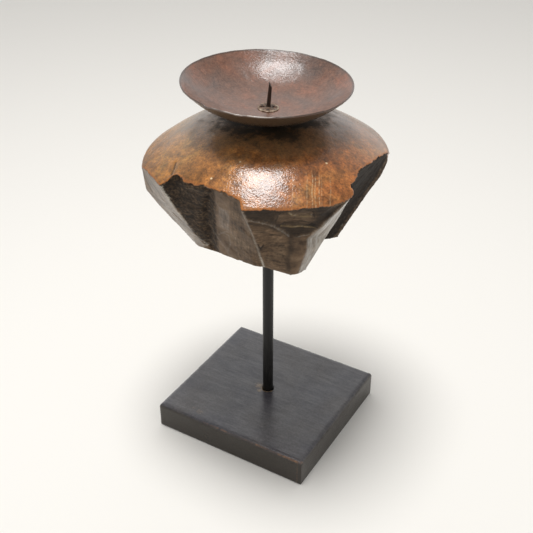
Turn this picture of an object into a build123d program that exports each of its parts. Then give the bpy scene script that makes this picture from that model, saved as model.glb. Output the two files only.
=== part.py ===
"""Pricket candle stand: a hewn wooden hub on an iron rod, with a drip dish, a spike and a square base.

Millimetres, +Z up. The underside of the base is z = 0 and the rod stands on x = y = 0.
"""

from build123d import *

import os
from math import cos, radians, sin

os.makedirs("parts", exist_ok=True)

# Base block
BASE_X = 125.0
BASE_Y = 118.0
BASE_T = 21.5
BASE_CORNER_R = 2.5
BASE_TOP_EDGE_R = 1.8
BASE_FOOT_EDGE_R = 0.8

# Rod and its socket in the base
ROD_R = 4.0
ROD_CHAMFER = 0.5
SOCKET_DEPTH = 12.0
SLIP_FIT = 0.15

# Hub seat welded to the rod
SEAT_Z = 159.0
SEAT_R = 11.0
SEAT_T = 5.0
SEAT_EDGE = 0.6
SEAT_ROOM = 1.5
SEAT_SINK = 2.0
SEAT_BEAD = 3.0

# Carved hub, leaning a little on the rod
HUB_R = 82.5
HUB_X = -0.8
HUB_Y = -0.5
HUB_PIVOT_RISE = 43.0
HUB_TILT_X = 1.2
HUB_TILT_Y = -2.0
HUB_TOP = 94.0
HUB_RIM = 62.5
HUB_BORE_FIT = 0.2

# Dome outline: reach as a share of the rim radius, height as a share of the hub's height
CROWN_SHARES = (0.52, 0.961)
BROW_SHARES = (0.776, 0.849)
SHOULDER_SHARES = (0.955, 0.743)

# Hewn levels as shares of the hub's height: foot, waist, flare, brow and clear above the dome
LEVEL_SHARES = (0.0, 0.319, 0.489, 0.840, 1.10)

# Corners of the hewn part at foot, waist, flare and brow: bearing in degrees, reach as a share of the rim
LEFT_TOOTH_SHARES = (
    ((206.5, 0.675), (209.0, 0.920), (210.5, 1.025), (214.0, 1.050)),
    ((217.0, 0.607), (222.0, 0.789), (224.0, 0.896), (231.0, 0.998)),
    ((225.0, 0.520), (234.0, 0.720), (237.5, 0.830), (248.0, 1.030)),
)
LEFT_NOTCH_SHARES = (
    ((226.5, 0.510), (236.5, 0.690), (241.0, 0.790), (250.0, 0.875)),
    ((228.5, 0.495), (250.5, 0.590), (259.0, 0.665), (272.0, 0.877)),
    ((283.5, 0.425), (284.5, 0.620), (286.5, 0.743), (289.7, 0.952)),
)
FRONT_TOOTH_SHARES = (
    ((295.0, 0.430), (292.5, 0.660), (292.0, 0.785), (290.4, 1.071)),
    ((317.5, 0.590), (317.5, 0.635), (314.5, 0.760), (310.0, 1.105)),
    ((321.2, 0.592), (323.0, 0.658), (322.5, 0.818), (337.0, 1.169)),
    ((325.0, 0.590), (328.0, 0.685), (330.5, 0.866), (345.0, 1.106)),
    ((333.0, 0.565), (339.0, 0.745), (341.0, 0.850), (345.4, 1.027)),
)
FRONT_NOTCH_SHARES = (((21.5, 0.305), (356.0, 0.530), (350.0, 0.670), (354.5, 0.931)),)
RIGHT_TOOTH_SHARES = (
    ((28.5, 0.515), (26.5, 0.702), (26.0, 0.812), (23.5, 1.048)),
    ((32.0, 0.590), (33.0, 0.823), (33.0, 0.952), (34.0, 1.130)),
    ((50.5, 0.580), (48.5, 0.805), (48.0, 0.925), (46.0, 1.140)),
)
RIGHT_NOTCH_SHARES = (((75.5, 0.480), (77.0, 0.690), (77.5, 0.850), (75.5, 1.180)),)
BACK_TOOTH_SHARES = (
    ((116.0, 0.610), (115.5, 0.800), (114.5, 0.915), (114.5, 1.075)),
    ((141.5, 0.620), (140.0, 0.810), (139.5, 0.910), (138.5, 1.070)),
)
BACK_NOTCH_SHARES = (((175.5, 0.450), (173.5, 0.680), (173.0, 0.870), (172.0, 1.235)),)
HEWN_SHARES = (
    LEFT_TOOTH_SHARES
    + LEFT_NOTCH_SHARES
    + FRONT_TOOTH_SHARES
    + FRONT_NOTCH_SHARES
    + RIGHT_TOOTH_SHARES
    + RIGHT_NOTCH_SHARES
    + BACK_TOOTH_SHARES
    + BACK_NOTCH_SHARES
)

# Drip dish, leaning the other way
DISH_R = 55.3
DISH_DEPTH = 19.6
DISH_FLOOR_R = 9.5
DISH_T = 1.3
DISH_X = -1.3
DISH_Y = -0.8
DISH_LIP_R = 0.4
DISH_RISE = 5.6
DISH_LEAN = 2.3
DISH_BEAD = 2.5

# Flared wall of the dish: reach and rise as shares of the run from the flat floor to the lip
DISH_WALL_SHARES = ((0.0, 0.0), (0.45, 0.135), (0.66, 0.36), (0.84, 0.645), (1.0, 1.0))

# Pricket spike and the weld round its foot
SPIKE_R = 1.3
SPIKE_SHANK = 14.5
SPIKE_LENGTH = 17.5
SPIKE_FOOT_R = 1.7
SPIKE_FOOT_H = 2.2
SPIKE_TIP_R = 0.35
SPIKE_TILT_X = -2.5
SPIKE_TILT_Y = 4.3
WELD_R = 7.0
WELD_H = 1.5
WELD_MID_R = 3.5
WELD_MID_H = 1.25
WELD_EDGE_H = 0.6
PIT_R = 1.9
PIT_REACH = 4.2
PIT_BEARING = 30.7

# Cuts run past the faces they open by this much
OVERRUN = 2.0

SOCKET_FLOOR = BASE_T - SOCKET_DEPTH
HUB_FOOT_Z = SEAT_Z - SEAT_SINK
HUB_PIVOT_Z = HUB_FOOT_Z + HUB_PIVOT_RISE
DISH_FLOOR_Z = HUB_FOOT_Z + HUB_TOP + DISH_RISE
HUB_PLANE = Plane((HUB_X, HUB_Y, HUB_PIVOT_Z)).rotated((HUB_TILT_X, HUB_TILT_Y, 0)).offset(-HUB_PIVOT_RISE)
FLOOR_PLANE = Plane((0, 0, DISH_FLOOR_Z)).rotated((0, DISH_LEAN, 0))
DISH_CENTRE = FLOOR_PLANE.from_local_coords((DISH_X, DISH_Y, 0))
DISH_PLANE = Plane(DISH_CENTRE, x_dir=FLOOR_PLANE.x_dir, z_dir=FLOOR_PLANE.z_dir)
SPIKE_PLANE = Plane((0, 0, DISH_FLOOR_Z)).rotated((SPIKE_TILT_X, SPIKE_TILT_Y, 0))


def upright(plane):
    """Return the plane through a plane's own x and z axes."""
    return Plane(plane.origin, x_dir=plane.x_dir, z_dir=-plane.y_dir)


def standing_axis(plane):
    """Return the axis standing on a plane's origin."""
    return Axis(plane.origin, plane.z_dir)


def hewn_outline(level):
    """Return the corners of the hewn part at one level."""
    corners = []
    for corner in HEWN_SHARES:
        bearing, reach_share = corner[min(level, len(corner) - 1)]
        reach = HUB_R * reach_share
        corners.append((reach * cos(radians(bearing)), reach * sin(radians(bearing))))
    return corners


def hub_point(shares):
    """Return a point of the dome outline from its reach and height shares."""
    return (HUB_R * shares[0], HUB_TOP * shares[1])


def dish_wall(drop):
    """Return the points of the dish's wall, on its inside or a sheet's thickness below."""
    run = DISH_R - DISH_FLOOR_R
    return [(DISH_FLOOR_R + run * reach, DISH_DEPTH * rise + drop) for reach, rise in DISH_WALL_SHARES]


# Base block with the rod's blind socket
with BuildPart() as base_block:
    with BuildSketch():
        RectangleRounded(BASE_X, BASE_Y, BASE_CORNER_R)
    extrude(amount=BASE_T)
    fillet(base_block.faces().sort_by(Axis.Z)[-1].edges(), BASE_TOP_EDGE_R)
    fillet(base_block.faces().sort_by(Axis.Z)[0].edges(), BASE_FOOT_EDGE_R)
    with BuildSketch(Plane.XY.offset(SOCKET_FLOOR)):
        Circle(ROD_R + SLIP_FIT)
    extrude(amount=SOCKET_DEPTH + OVERRUN, mode=Mode.SUBTRACT)

# Rod, set in the base and cut at the top to the dish's lean
with BuildPart() as support_rod:
    with BuildSketch(Plane.XY.offset(SOCKET_FLOOR)):
        Circle(ROD_R)
    extrude(amount=DISH_FLOOR_Z - SOCKET_FLOOR)
    chamfer(support_rod.faces().sort_by(Axis.Z)[0].edges(), ROD_CHAMFER)
    split(bisect_by=FLOOR_PLANE.offset(-DISH_T), keep=Keep.BOTTOM)

# Collar that carries the hub
with BuildPart() as seat_collar:
    with BuildSketch(Plane.XY.offset(SEAT_Z - SEAT_T)):
        Circle(SEAT_R)
        Circle(ROD_R, mode=Mode.SUBTRACT)
    extrude(amount=SEAT_T)
    chamfer(seat_collar.faces().sort_by(Axis.Z)[0].edges().sort_by(SortBy.RADIUS)[-1], SEAT_EDGE)

# Bead that welds the collar to the rod
with BuildPart() as seat_weld:
    with BuildSketch(Plane.XZ):
        with BuildLine():
            bead_top = Line((ROD_R, SEAT_Z - SEAT_T), (ROD_R + SEAT_BEAD, SEAT_Z - SEAT_T))
            bead_side = Line(bead_top @ 0, (ROD_R, SEAT_Z - SEAT_T - SEAT_BEAD))
            Line(bead_top @ 1, bead_side @ 1)
        make_face()
    revolve(axis=Axis.Z)

# Hub: hewn teeth and notches below, kept inside the turned dome
with BuildPart() as carved_hub:
    for level, level_share in enumerate(LEVEL_SHARES):
        with BuildSketch(HUB_PLANE.offset(HUB_TOP * level_share)):
            Polygon(*hewn_outline(level), align=None)
    loft(ruled=True)
    with BuildSketch(upright(HUB_PLANE)):
        with BuildLine():
            dome = Spline(
                (0, HUB_TOP),
                hub_point(CROWN_SHARES),
                hub_point(BROW_SHARES),
                hub_point(SHOULDER_SHARES),
                (HUB_R, HUB_RIM),
                tangents=((1, 0), (0, -1)),
            )
            Polyline(dome @ 1, (HUB_R, 0), (0, 0), dome @ 0)
        make_face()
    revolve(axis=standing_axis(HUB_PLANE), mode=Mode.INTERSECT)
    with BuildSketch():
        Circle(ROD_R + HUB_BORE_FIT)
    extrude(amount=DISH_FLOOR_Z, mode=Mode.SUBTRACT)
    with BuildSketch():
        Circle(SEAT_R + SEAT_ROOM)
    extrude(amount=SEAT_Z, mode=Mode.SUBTRACT)

# Drip dish: a sheet with a flat floor and a flared wall
with BuildPart() as drip_dish:
    with BuildSketch(upright(DISH_PLANE)) as dish_profile:
        with BuildLine():
            inside = Spline(*dish_wall(0), tangents=((1, 0), (1, 1)))
            outside = Spline(*dish_wall(-DISH_T), tangents=((1, 0), (1, 1)))
            Polyline(inside @ 0, (0, 0), (0, -DISH_T), outside @ 0)
            Line(inside @ 1, outside @ 1)
        make_face()
        fillet(dish_profile.vertices().sort_by(Axis.X)[-2:], DISH_LIP_R)
    revolve(axis=standing_axis(DISH_PLANE))

# Bead between the rod and the dish
with BuildPart() as dish_weld:
    with BuildSketch(Plane.XZ):
        with BuildLine():
            Polyline(
                (ROD_R, DISH_FLOOR_Z - DISH_T - DISH_BEAD),
                (ROD_R + DISH_BEAD, DISH_FLOOR_Z - DISH_T),
                (ROD_R + DISH_BEAD, DISH_FLOOR_Z),
                (ROD_R, DISH_FLOOR_Z),
                close=True,
            )
        make_face()
    revolve(axis=Axis.Z)
    split(bisect_by=FLOOR_PLANE.offset(-DISH_T), keep=Keep.BOTTOM)

# Spike, drawn to a point and standing on the dish
with BuildPart() as pricket_spike:
    with BuildSketch(upright(SPIKE_PLANE)):
        with BuildLine():
            Polyline(
                (0, -OVERRUN),
                (SPIKE_FOOT_R, -OVERRUN),
                (SPIKE_FOOT_R, SPIKE_FOOT_H),
                (SPIKE_R, SPIKE_FOOT_H),
                (SPIKE_R, SPIKE_SHANK),
                (SPIKE_TIP_R, SPIKE_LENGTH),
                (0, SPIKE_LENGTH),
                close=True,
            )
        make_face()
    revolve(axis=standing_axis(SPIKE_PLANE))
    split(bisect_by=FLOOR_PLANE, keep=Keep.TOP)

# Weld round the spike's foot, with a pit on either side
with BuildPart() as spike_weld:
    with BuildSketch(upright(FLOOR_PLANE)):
        with BuildLine():
            mound = ThreePointArc((0, WELD_H), (WELD_MID_R, WELD_MID_H), (WELD_R, WELD_EDGE_H))
            Polyline(mound @ 1, (WELD_R, 0), (0, 0), mound @ 0)
        make_face()
    revolve(axis=standing_axis(FLOOR_PLANE))
    with BuildSketch(SPIKE_PLANE.offset(-OVERRUN)):
        Circle(SPIKE_FOOT_R)
    extrude(amount=OVERRUN + OVERRUN + WELD_H, mode=Mode.SUBTRACT)
    with Locations(FLOOR_PLANE.offset(WELD_H)):
        with PolarLocations(PIT_REACH, 2, start_angle=PIT_BEARING):
            Sphere(PIT_R, mode=Mode.SUBTRACT)

# One file per piece
base_block.part.label = "base_block"
export_step(base_block.part, "parts/base_block.step")
support_rod.part.label = "support_rod"
export_step(support_rod.part, "parts/support_rod.step")
seat_collar.part.label = "seat_collar"
export_step(seat_collar.part, "parts/seat_collar.step")
seat_weld.part.label = "seat_weld"
export_step(seat_weld.part, "parts/seat_weld.step")
carved_hub.part.label = "carved_hub"
export_step(carved_hub.part, "parts/carved_hub.step")
drip_dish.part.label = "drip_dish"
export_step(drip_dish.part, "parts/drip_dish.step")
dish_weld.part.label = "dish_weld"
export_step(dish_weld.part, "parts/dish_weld.step")
pricket_spike.part.label = "pricket_spike"
export_step(pricket_spike.part, "parts/pricket_spike.step")
spike_weld.part.label = "spike_weld"
export_step(spike_weld.part, "parts/spike_weld.step")
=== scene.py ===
"""Looks of the pricket candle stand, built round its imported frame.

Metres, +Z up. The base's underside is z = 0 and the rod stands on x = y = 0.
"""

import logging
import math
from dataclasses import dataclass, replace
from enum import Enum
from functools import partial
from typing import Any, Callable, Iterable, Sequence, Union

import bmesh
import bpy
import numpy as np
from mathutils import Matrix, Vector, noise
from mathutils.bvhtree import BVHTree
from mathutils.kdtree import KDTree


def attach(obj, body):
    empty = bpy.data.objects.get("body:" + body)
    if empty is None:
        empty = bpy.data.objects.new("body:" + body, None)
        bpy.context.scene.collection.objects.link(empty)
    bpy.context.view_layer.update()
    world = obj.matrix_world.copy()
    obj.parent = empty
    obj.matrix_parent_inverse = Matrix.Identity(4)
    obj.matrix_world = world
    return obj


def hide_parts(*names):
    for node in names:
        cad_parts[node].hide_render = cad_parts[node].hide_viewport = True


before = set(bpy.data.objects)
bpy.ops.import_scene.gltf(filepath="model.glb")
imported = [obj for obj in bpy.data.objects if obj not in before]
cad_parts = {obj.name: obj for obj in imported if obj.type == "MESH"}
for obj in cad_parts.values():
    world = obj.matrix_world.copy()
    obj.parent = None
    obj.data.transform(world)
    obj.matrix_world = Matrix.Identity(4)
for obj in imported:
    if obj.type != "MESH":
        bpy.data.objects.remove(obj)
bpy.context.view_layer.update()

LOG = logging.getLogger("candle_stand")
MM = 0.001
BODY = "root"
MERGE_GAP = 0.01 * MM
SEED = 11
FLAT = (1.0, 1.0, 0.0)

Span = tuple[float, float]
Place = tuple[float, float, float]
Line = Sequence[tuple[float, float]]
Inputs = Union[dict[Any, Any], Sequence[Any]]
Array = np.ndarray
Piece = bpy.types.Object
Mesh = bpy.types.Mesh
Socket = bpy.types.NodeSocket
Put = Callable[..., Socket]

# Settings that many nodes share
DOT = {"out": "Value", "operation": "DOT_PRODUCT"}
DISTANCE = {"out": "Value", "operation": "DISTANCE"}
MULTIPLY = {"operation": "MULTIPLY"}
MULTIPLY_ADD = {"operation": "MULTIPLY_ADD"}


class Slot(Enum):
    """Material slots of the record."""

    BASE = "stained_wood"
    HUB = "hub_wood"
    IRON = "black_iron"
    DISH = "dish_iron"


# Colours and node trees


def linear(hex_colour: str) -> tuple[float, float, float, float]:
    """Turn an sRGB hex colour into linear RGBA.

    Args:
        hex_colour: Colour such as "#7a5034".

    Returns:
        Linear red, green, blue and an alpha of 1.
    """
    channels = [int(hex_colour[i : i + 2], 16) / 255 for i in (1, 3, 5)]
    return (*[c / 12.92 if c <= 0.04045 else ((c + 0.055) / 1.055) ** 2.4 for c in channels], 1.0)


def per_mm(size_mm: float) -> float:
    """Return the texture scale whose features are about this many millimetres."""
    return 1000.0 / size_mm


def feed(node: bpy.types.Node, inputs: Inputs) -> None:
    """Set or link a node's inputs.

    Args:
        node: The node.
        inputs: Values, hex colours or outputs, in order or by the input's name or number.
    """
    for key, value in inputs.items() if isinstance(inputs, dict) else enumerate(inputs):
        if isinstance(value, Socket):
            node.id_data.links.new(value, node.inputs[key])
        else:
            node.inputs[key].default_value = linear(value) if isinstance(value, str) else value


def add(
    tree: bpy.types.NodeTree,
    kind: str,
    inputs: Inputs = (),
    out: Union[int, str] = 0,
    stops: Sequence[tuple[float, str]] = (),
    **settings: Any,
) -> Socket:
    """Add one node with its settings, input values and links.

    Args:
        tree: Node tree that takes the node.
        kind: Blender's type name, without the leading "ShaderNode".
        inputs: What feeds it, in order or by name or number.
        out: Name or number of the wanted output.
        stops: Positions and hex colours of a colour ramp.
        settings: Properties of the node.

    Returns:
        The wanted output.
    """
    made = tree.nodes.new("ShaderNode" + kind)
    for name, value in settings.items():
        setattr(made, name, value)
    feed(made, inputs)
    if stops:
        ramp = made.color_ramp
        while len(ramp.elements) < len(stops):
            ramp.elements.new(1.0)
        for element, (position, colour) in zip(ramp.elements, stops):
            element.position = position
            element.color = linear(colour)
    return made.outputs[out]


def painted(put: Put, ground: Socket, *coats: Any) -> Socket:
    """Work coats over a colour.

    Args:
        put: Adds a node.
        ground: The colour below.
        coats: Each a share with the colour that it lays on, or a factor that shades what lies below.

    Returns:
        The colour on top.
    """
    for coat in coats:
        if isinstance(coat, tuple):
            ground = put("Mix", {0: coat[0], 6: ground, 7: coat[1]}, out=2, data_type="RGBA")
        else:
            ground = put("VectorMath", {0: ground, "Scale": coat}, operation="SCALE")
    return ground


# Numbers on vertices


def step(values: Array, low: float, high: float) -> Array:
    """Return a smooth step from 0 at low to 1 at high."""
    t = np.clip((values - low) / (high - low), 0.0, 1.0)
    return t * t * (3.0 - 2.0 * t)


def window(values: Array, low: float, high: float, soft: float) -> Array:
    """Return 1 between low and high, fading out over soft on both sides of each."""
    return step(values, low - soft, low + soft) * (1.0 - step(values, high - soft, high + soft))


def bell(values: Array, half: float, power: int = 2) -> Array:
    """Return 1 at zero, falling to 1/e at half."""
    return np.exp(-((values / half) ** power))


def turned(degrees: Array) -> Array:
    """Return angles brought to between -180 and 180 degrees."""
    return (degrees + 180.0) % 360.0 - 180.0


def tilted(x_deg: float, y_deg: float) -> Matrix:
    """Return a turn about Y and then about X."""
    return Matrix.Rotation(math.radians(x_deg), 3, "X") @ Matrix.Rotation(math.radians(y_deg), 3, "Y")


def neighbour_mean(values: Array, edges: Array, rounds: int) -> Array:
    """Average values over neighbouring vertices.

    Args:
        values: One value or row for each vertex.
        edges: Vertex pairs.
        rounds: How often the average is taken.

    Returns:
        The averaged values.
    """
    count = np.zeros(len(values))
    np.add.at(count, edges.ravel(), 1.0)
    count = np.maximum(count, 1.0)
    for _ in range(rounds):
        total = np.zeros_like(values)
        np.add.at(total, edges[:, 0], values[edges[:, 1]])
        np.add.at(total, edges[:, 1], values[edges[:, 0]])
        values = total / (count if values.ndim == 1 else count[:, None])
    return values


def nearest(targets: Sequence[Any], points: Sequence[Any]) -> tuple[Array, Array]:
    """Find the target nearest to each point.

    Args:
        targets: Positions to search.
        points: Positions to search from.

    Returns:
        The targets' numbers and their distances.
    """
    tree = KDTree(len(targets))
    for number, target in enumerate(targets):
        tree.insert(target, number)
    tree.balance()
    _, numbers, gaps = zip(*(tree.find(point) for point in points))
    return np.array(numbers), np.array(gaps)


@dataclass(frozen=True)
class Ripple:
    """Smooth noise: the size of its largest features, its number of layers and a shift to another pattern."""

    size: float
    layers: int
    shift: float = 0.0

    def at(self, points: Array) -> Array:
        """Return the noise at points, from about -1 to 1."""
        rough, finer, basis = 0.6, 2.0, {"noise_basis": "PERLIN_ORIGINAL"}
        scaled = points / self.size + self.shift
        return np.array([noise.fractal(Vector(p), rough, finer, self.layers, **basis) for p in scaled])


@dataclass(frozen=True)
class Around:
    """Where vertices lie round an axis: bearing in degrees, height and reach in metres."""

    bearing: Array
    height: Array
    reach: Array

    def past(self, line: Line) -> Array:
        """Return how many degrees each vertex lies past a line of heights in mm and bearings."""
        return turned(self.bearing - np.interp(self.height / MM, *np.array(line, float).T))

    def near(self, lines: Sequence[Line], half: float) -> Array:
        """Return nearness to lines, from 0 to 1.

        Args:
            lines: Bearings in degrees and heights in mm along each line.
            half: Half the lines' width.

        Returns:
            One value for each vertex.
        """
        near = np.zeros(len(self.reach))
        for line in lines:
            for (b0, h0), (b1, h1) in zip(line, line[1:]):
                start = np.stack([np.radians(self.bearing - b0) * self.reach, self.height - h0 * MM], 1)
                run = np.stack([np.radians(b1 - b0) * self.reach, np.full(len(self.reach), (h1 - h0) * MM)], 1)
                share = np.clip((start * run).sum(1) / np.maximum((run * run).sum(1), MERGE_GAP**2), 0.0, 1.0)
                gap = np.linalg.norm(start - run * share[:, None], axis=1)
                near = np.maximum(near, bell(gap, half))
        return near


# Mesh tools


def select_only(piece: Piece) -> None:
    """Make one object the only selected and active one."""
    bpy.ops.object.select_all(action="DESELECT")
    piece.select_set(True)
    bpy.context.view_layer.objects.active = piece


def open_mesh(piece: Piece) -> None:
    """Open one object in edit mode with all of it selected."""
    select_only(piece)
    bpy.ops.object.mode_set(mode="EDIT")
    bpy.ops.mesh.select_all(action="SELECT")


def primitive(name: str, kind: str, **settings: Any) -> Piece:
    """Add one of Blender's basic meshes.

    Args:
        name: Name of the object and its mesh.
        kind: Blender's name for the basic mesh.
        settings: Its sizes.

    Returns:
        The new object.
    """
    bpy.ops.object.select_all(action="DESELECT")
    getattr(bpy.ops.mesh, f"primitive_{kind}_add")(**settings)
    piece = bpy.context.active_object
    piece.name = piece.data.name = name
    return piece


def apply_modifier(piece: Piece, kind: str, **settings: Any) -> None:
    """Add a modifier with its settings and apply it.

    Args:
        piece: Object to change.
        kind: Blender's type of modifier.
        settings: Properties of the modifier.
    """
    modifier = piece.modifiers.new(kind.lower(), kind)
    for name, value in settings.items():
        setattr(modifier, name, value)
    select_only(piece)
    bpy.ops.object.modifier_apply(modifier=modifier.name)


def merged_copy(node: str, name: str) -> Piece:
    """Copy a CAD node as a new piece and merge its loose triangles.

    Args:
        node: Name of the CAD node.
        name: Name of the new piece.

    Returns:
        The new piece.
    """
    piece = bpy.data.objects.new(name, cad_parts[node].data.copy())
    piece.data.name = name
    piece.data.materials.clear()
    bpy.context.scene.collection.objects.link(piece)
    open_mesh(piece)
    bpy.ops.mesh.remove_doubles(threshold=MERGE_GAP)
    bpy.ops.object.mode_set(mode="OBJECT")
    return piece


def vectors_of(mesh: Mesh, what: str = "co") -> Array:
    """Return the vertices' positions ("co") or normals ("normal"), one row each."""
    flat = np.empty(len(mesh.vertices) * 3, np.float32)
    mesh.vertices.foreach_get(what, flat)
    return flat.reshape(-1, 3).astype(float)


def edges_of(mesh: Mesh) -> Array:
    """Return the vertex pairs of a mesh's edges."""
    flat = np.empty(len(mesh.edges) * 2, np.int32)
    mesh.edges.foreach_get("vertices", flat)
    return flat.reshape(-1, 2)


def set_points(mesh: Mesh, points: Array) -> None:
    """Write vertex positions back to a mesh."""
    mesh.vertices.foreach_set("co", points.astype(np.float32).ravel())
    mesh.update()


def set_attributes(mesh: Mesh, **marks: Array) -> None:
    """Store numbers or vectors for each vertex, under the names that materials read.

    Args:
        mesh: Mesh that takes the attributes.
        marks: One value or row of three for each vertex, by name.
    """
    for name, values in marks.items():
        wide = values.ndim == 2
        attribute = mesh.attributes.new(name, "FLOAT_VECTOR" if wide else "FLOAT", "POINT")
        attribute.data.foreach_set("vector" if wide else "value", values.astype(np.float32).ravel())


def arris_of(mesh: Mesh, rounds: int) -> Array:
    """Return how far each vertex stands out of its neighbours.

    Args:
        mesh: An evenly meshed surface.
        rounds: How far the neighbours are averaged.

    Returns:
        Metres, positive on outer edges and negative in grooves.
    """
    points = vectors_of(mesh)
    mean = neighbour_mean(points, edges_of(mesh), rounds)
    return np.einsum("ij,ij->i", points - mean, vectors_of(mesh, "normal"))


# Finishes


@dataclass(frozen=True)
class Finish:
    """A named material; each kind of finish says what feeds its shader."""

    name: str

    def make(self) -> bpy.types.Material:
        """Build and return the material."""
        material = bpy.data.materials.new(self.name)
        material.use_nodes = True
        feed(material.node_tree.nodes["Principled BSDF"], self.inputs(partial(add, material.node_tree)))
        return material

    def inputs(self, put: Put) -> Inputs:
        """Return what feeds the shader, built with put, which adds a node."""
        raise NotImplementedError


@dataclass(frozen=True)
class HubWood(Finish):
    """Turned and lacquered root wood above, hewn and stained below.

    The lacquer gives a bright, finely pitted highlight over mottled orange and brown, with painted shade towards its
    left and dust with painted sheen towards its back. The hewn faces are a dull brown-black with painted shade in the
    notches, pockets and creases, rub with painted sheen on the outer faces, and paler edges that are wear with painted
    highlights. Soot and painted shade darken the crown under the dish.
    """

    name: str = "lacquered_root_wood"
    orange: str = "#b8763d"
    ochre: str = "#b98c4e"
    brown: str = "#985e30"
    umber: str = "#4c301c"
    red: str = "#9c5a2b"
    gold: str = "#b5802c"
    dust_and_sheen: str = "#98886f"
    pore: str = "#3b2415"
    rim_wear_and_highlight: str = "#b8713a"
    # Soot, with painted shade where the dish hangs over the crown
    soot_and_shade: str = "#41372b"
    soot_and_shade_edge: str = "#9a7d59"
    pale_line: str = "#e2c79c"
    stain_dark: str = "#3a2c20"
    stain_mid: str = "#64503d"
    stain_light: str = "#7f6a54"
    shade_and_split_dark: str = "#1c1510"
    arris_wear_and_highlight: str = "#d2ccc0"
    rubbed_sheen_grey: str = "#b8b5ae"
    bare_wood: str = "#86714f"
    lacquer_roughness: Span = (0.24, 0.42)
    hewn_roughness: Span = (0.74, 0.40)
    soot_and_shade_roughness: float = 0.62
    specular: float = 0.20
    coat: float = 0.72
    rubbed_coat: float = 1.0
    coat_roughness: float = 0.16
    soot_and_shade_middle: Place = (2.5 * MM, 1.5 * MM, 0.0)
    soot_and_shade_clear_r: float = 58 * MM
    soot_and_shade_full_r: float = 18 * MM
    soot_and_shade_stray: float = 100 * MM
    # The grain is drawn coarser than the wood's own, so that it shows
    fibre_mm: float = 1.7
    fibre_stretch: Place = (1.0, 0.12, 1.0)

    # Ragged border, patches, waves and grit: size in mm and detail
    surface = ((3.0, 4.0), (9.0, 5.0), (6.0, 2.0), (0.9, 1.0))
    # Mottling of the dome: size in mm, darkest and lightest shade
    mottling = ((7.5, 0.46, 1.34), (3.4, 0.56, 1.32))
    # Where the dust and painted sheen lie thinner: from and to across the dome, and the share left
    less_dust_and_sheen = ((-40 * MM, 50 * MM, 0.7), (-52 * MM, -74 * MM, 0.25))
    # Pale specks in the lacquer: place
    specks = (
        (11.0 * MM, -51.9 * MM, 243.1 * MM), (54.7 * MM, -22.3 * MM, 240.5 * MM), (-0.7 * MM, -66.2 * MM, 234.8 * MM)
    )
    # Pale scratches: place across and strength
    scratches = (
        (15.5 * MM, 0.20), (24.0 * MM, 0.25), (27.4 * MM, 0.45), (29.3 * MM, 0.40), (32.0 * MM, 0.35),
        (33.4 * MM, 0.20), (38.5 * MM, 0.25),
    )
    # Direction across the scratches, and along them
    across = (0.8597, 0.5108, 0.0)
    along = (-0.5108, 0.8597, 0.0)

    def inputs(self, put: Put) -> Inputs:
        """Lay lacquer above the hewn border and stain below it.

        Args:
            put: Adds a node.

        Returns:
            What feeds the shader.
        """
        place = put("TexCoord", out="Object")
        rim, tone, split = (put("Attribute", out="Fac", attribute_name=name) for name in ("rim_mm", "tone", "crack"))
        ragged, patches, waves, grit = (
            put("TexNoise", {"Vector": place, "Scale": per_mm(size), "Detail": detail}) for size, detail in self.surface
        )
        on_dome = put("MapRange", (put("Math", (ragged, 1.2, rim), **MULTIPLY_ADD), 0.4, 0.9))
        lie = put("Attribute", out="Vector", attribute_name="grain")
        lie = put("Mapping", {"Vector": lie, "Scale": self.fibre_stretch})
        fibre = put("TexNoise", {"Vector": lie, "Scale": per_mm(self.fibre_mm), "Detail": 5.0, "Roughness": 0.68})
        side, depth = (put("VectorMath", (place, way), **DOT) for way in (self.across, self.along))
        soot_and_shade = self._soot_and_shade(put, place)
        hewn = self._hewn_colour(put, place, tone, fibre)
        dome = self._dome_colour(put, place, rim, side, depth)
        # Soot and painted shade under the dish lay a dark film over the dome
        soot_and_shade_colour = put("ValToRGB", (soot_and_shade,), stops=((0.20, self.soot_and_shade_edge), (0.85, self.soot_and_shade)))
        dome = painted(put, dome, (soot_and_shade, soot_and_shade_colour), (split, self.soot_and_shade))

        rough_dome = put("MapRange", (patches, 0.3, 0.7, *self.lacquer_roughness))
        rough_dome = put("Mix", {0: soot_and_shade, 2: rough_dome, 3: self.soot_and_shade_roughness})
        rough_hewn = put("MapRange", (tone, -1.0, 1.0, *self.hewn_roughness))

        pits = put("TexVoronoi", {"Vector": place, "Scale": per_mm(1.3), "Smoothness": 0.35}, feature="SMOOTH_F1")
        relief = put("Math", (pits, 0.30, waves), **MULTIPLY_ADD)
        relief = put("Math", (grit, 0.45, relief), **MULTIPLY_ADD)
        relief = put("Mix", {0: on_dome, 2: fibre, 3: relief})
        bump = put("Bump", {"Height": relief, "Strength": 0.45, "Distance": 0.34 * MM})

        lacquer = put("MapRange", (soot_and_shade, 0.2, 0.9, self.coat, 0.0))
        thin = put("MapRange", (side, -78 * MM, -48 * MM, 0.1, 1.0))
        rubbed = put("MapRange", (tone, 0.25, 0.85, 0.0, self.rubbed_coat))
        streak = put("MapRange", (fibre, 0.42, 0.55, 0.35, 1.0))
        rubbed, lacquer = (put("Math", pair, **MULTIPLY) for pair in ((rubbed, streak), (lacquer, thin)))
        coat = put("Mix", {0: on_dome, 2: rubbed, 3: lacquer})
        return {
            "Base Color": painted(put, hewn, (on_dome, dome)),
            "Roughness": put("Mix", {0: on_dome, 2: rough_hewn, 3: rough_dome}),
            "Normal": bump,
            "Coat Normal": bump,
            "Coat Weight": put("Mix", {0: split, 2: coat, 3: 0.0}),
            "Coat Roughness": self.coat_roughness,
            "Specular IOR Level": self.specular,
        }

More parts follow.
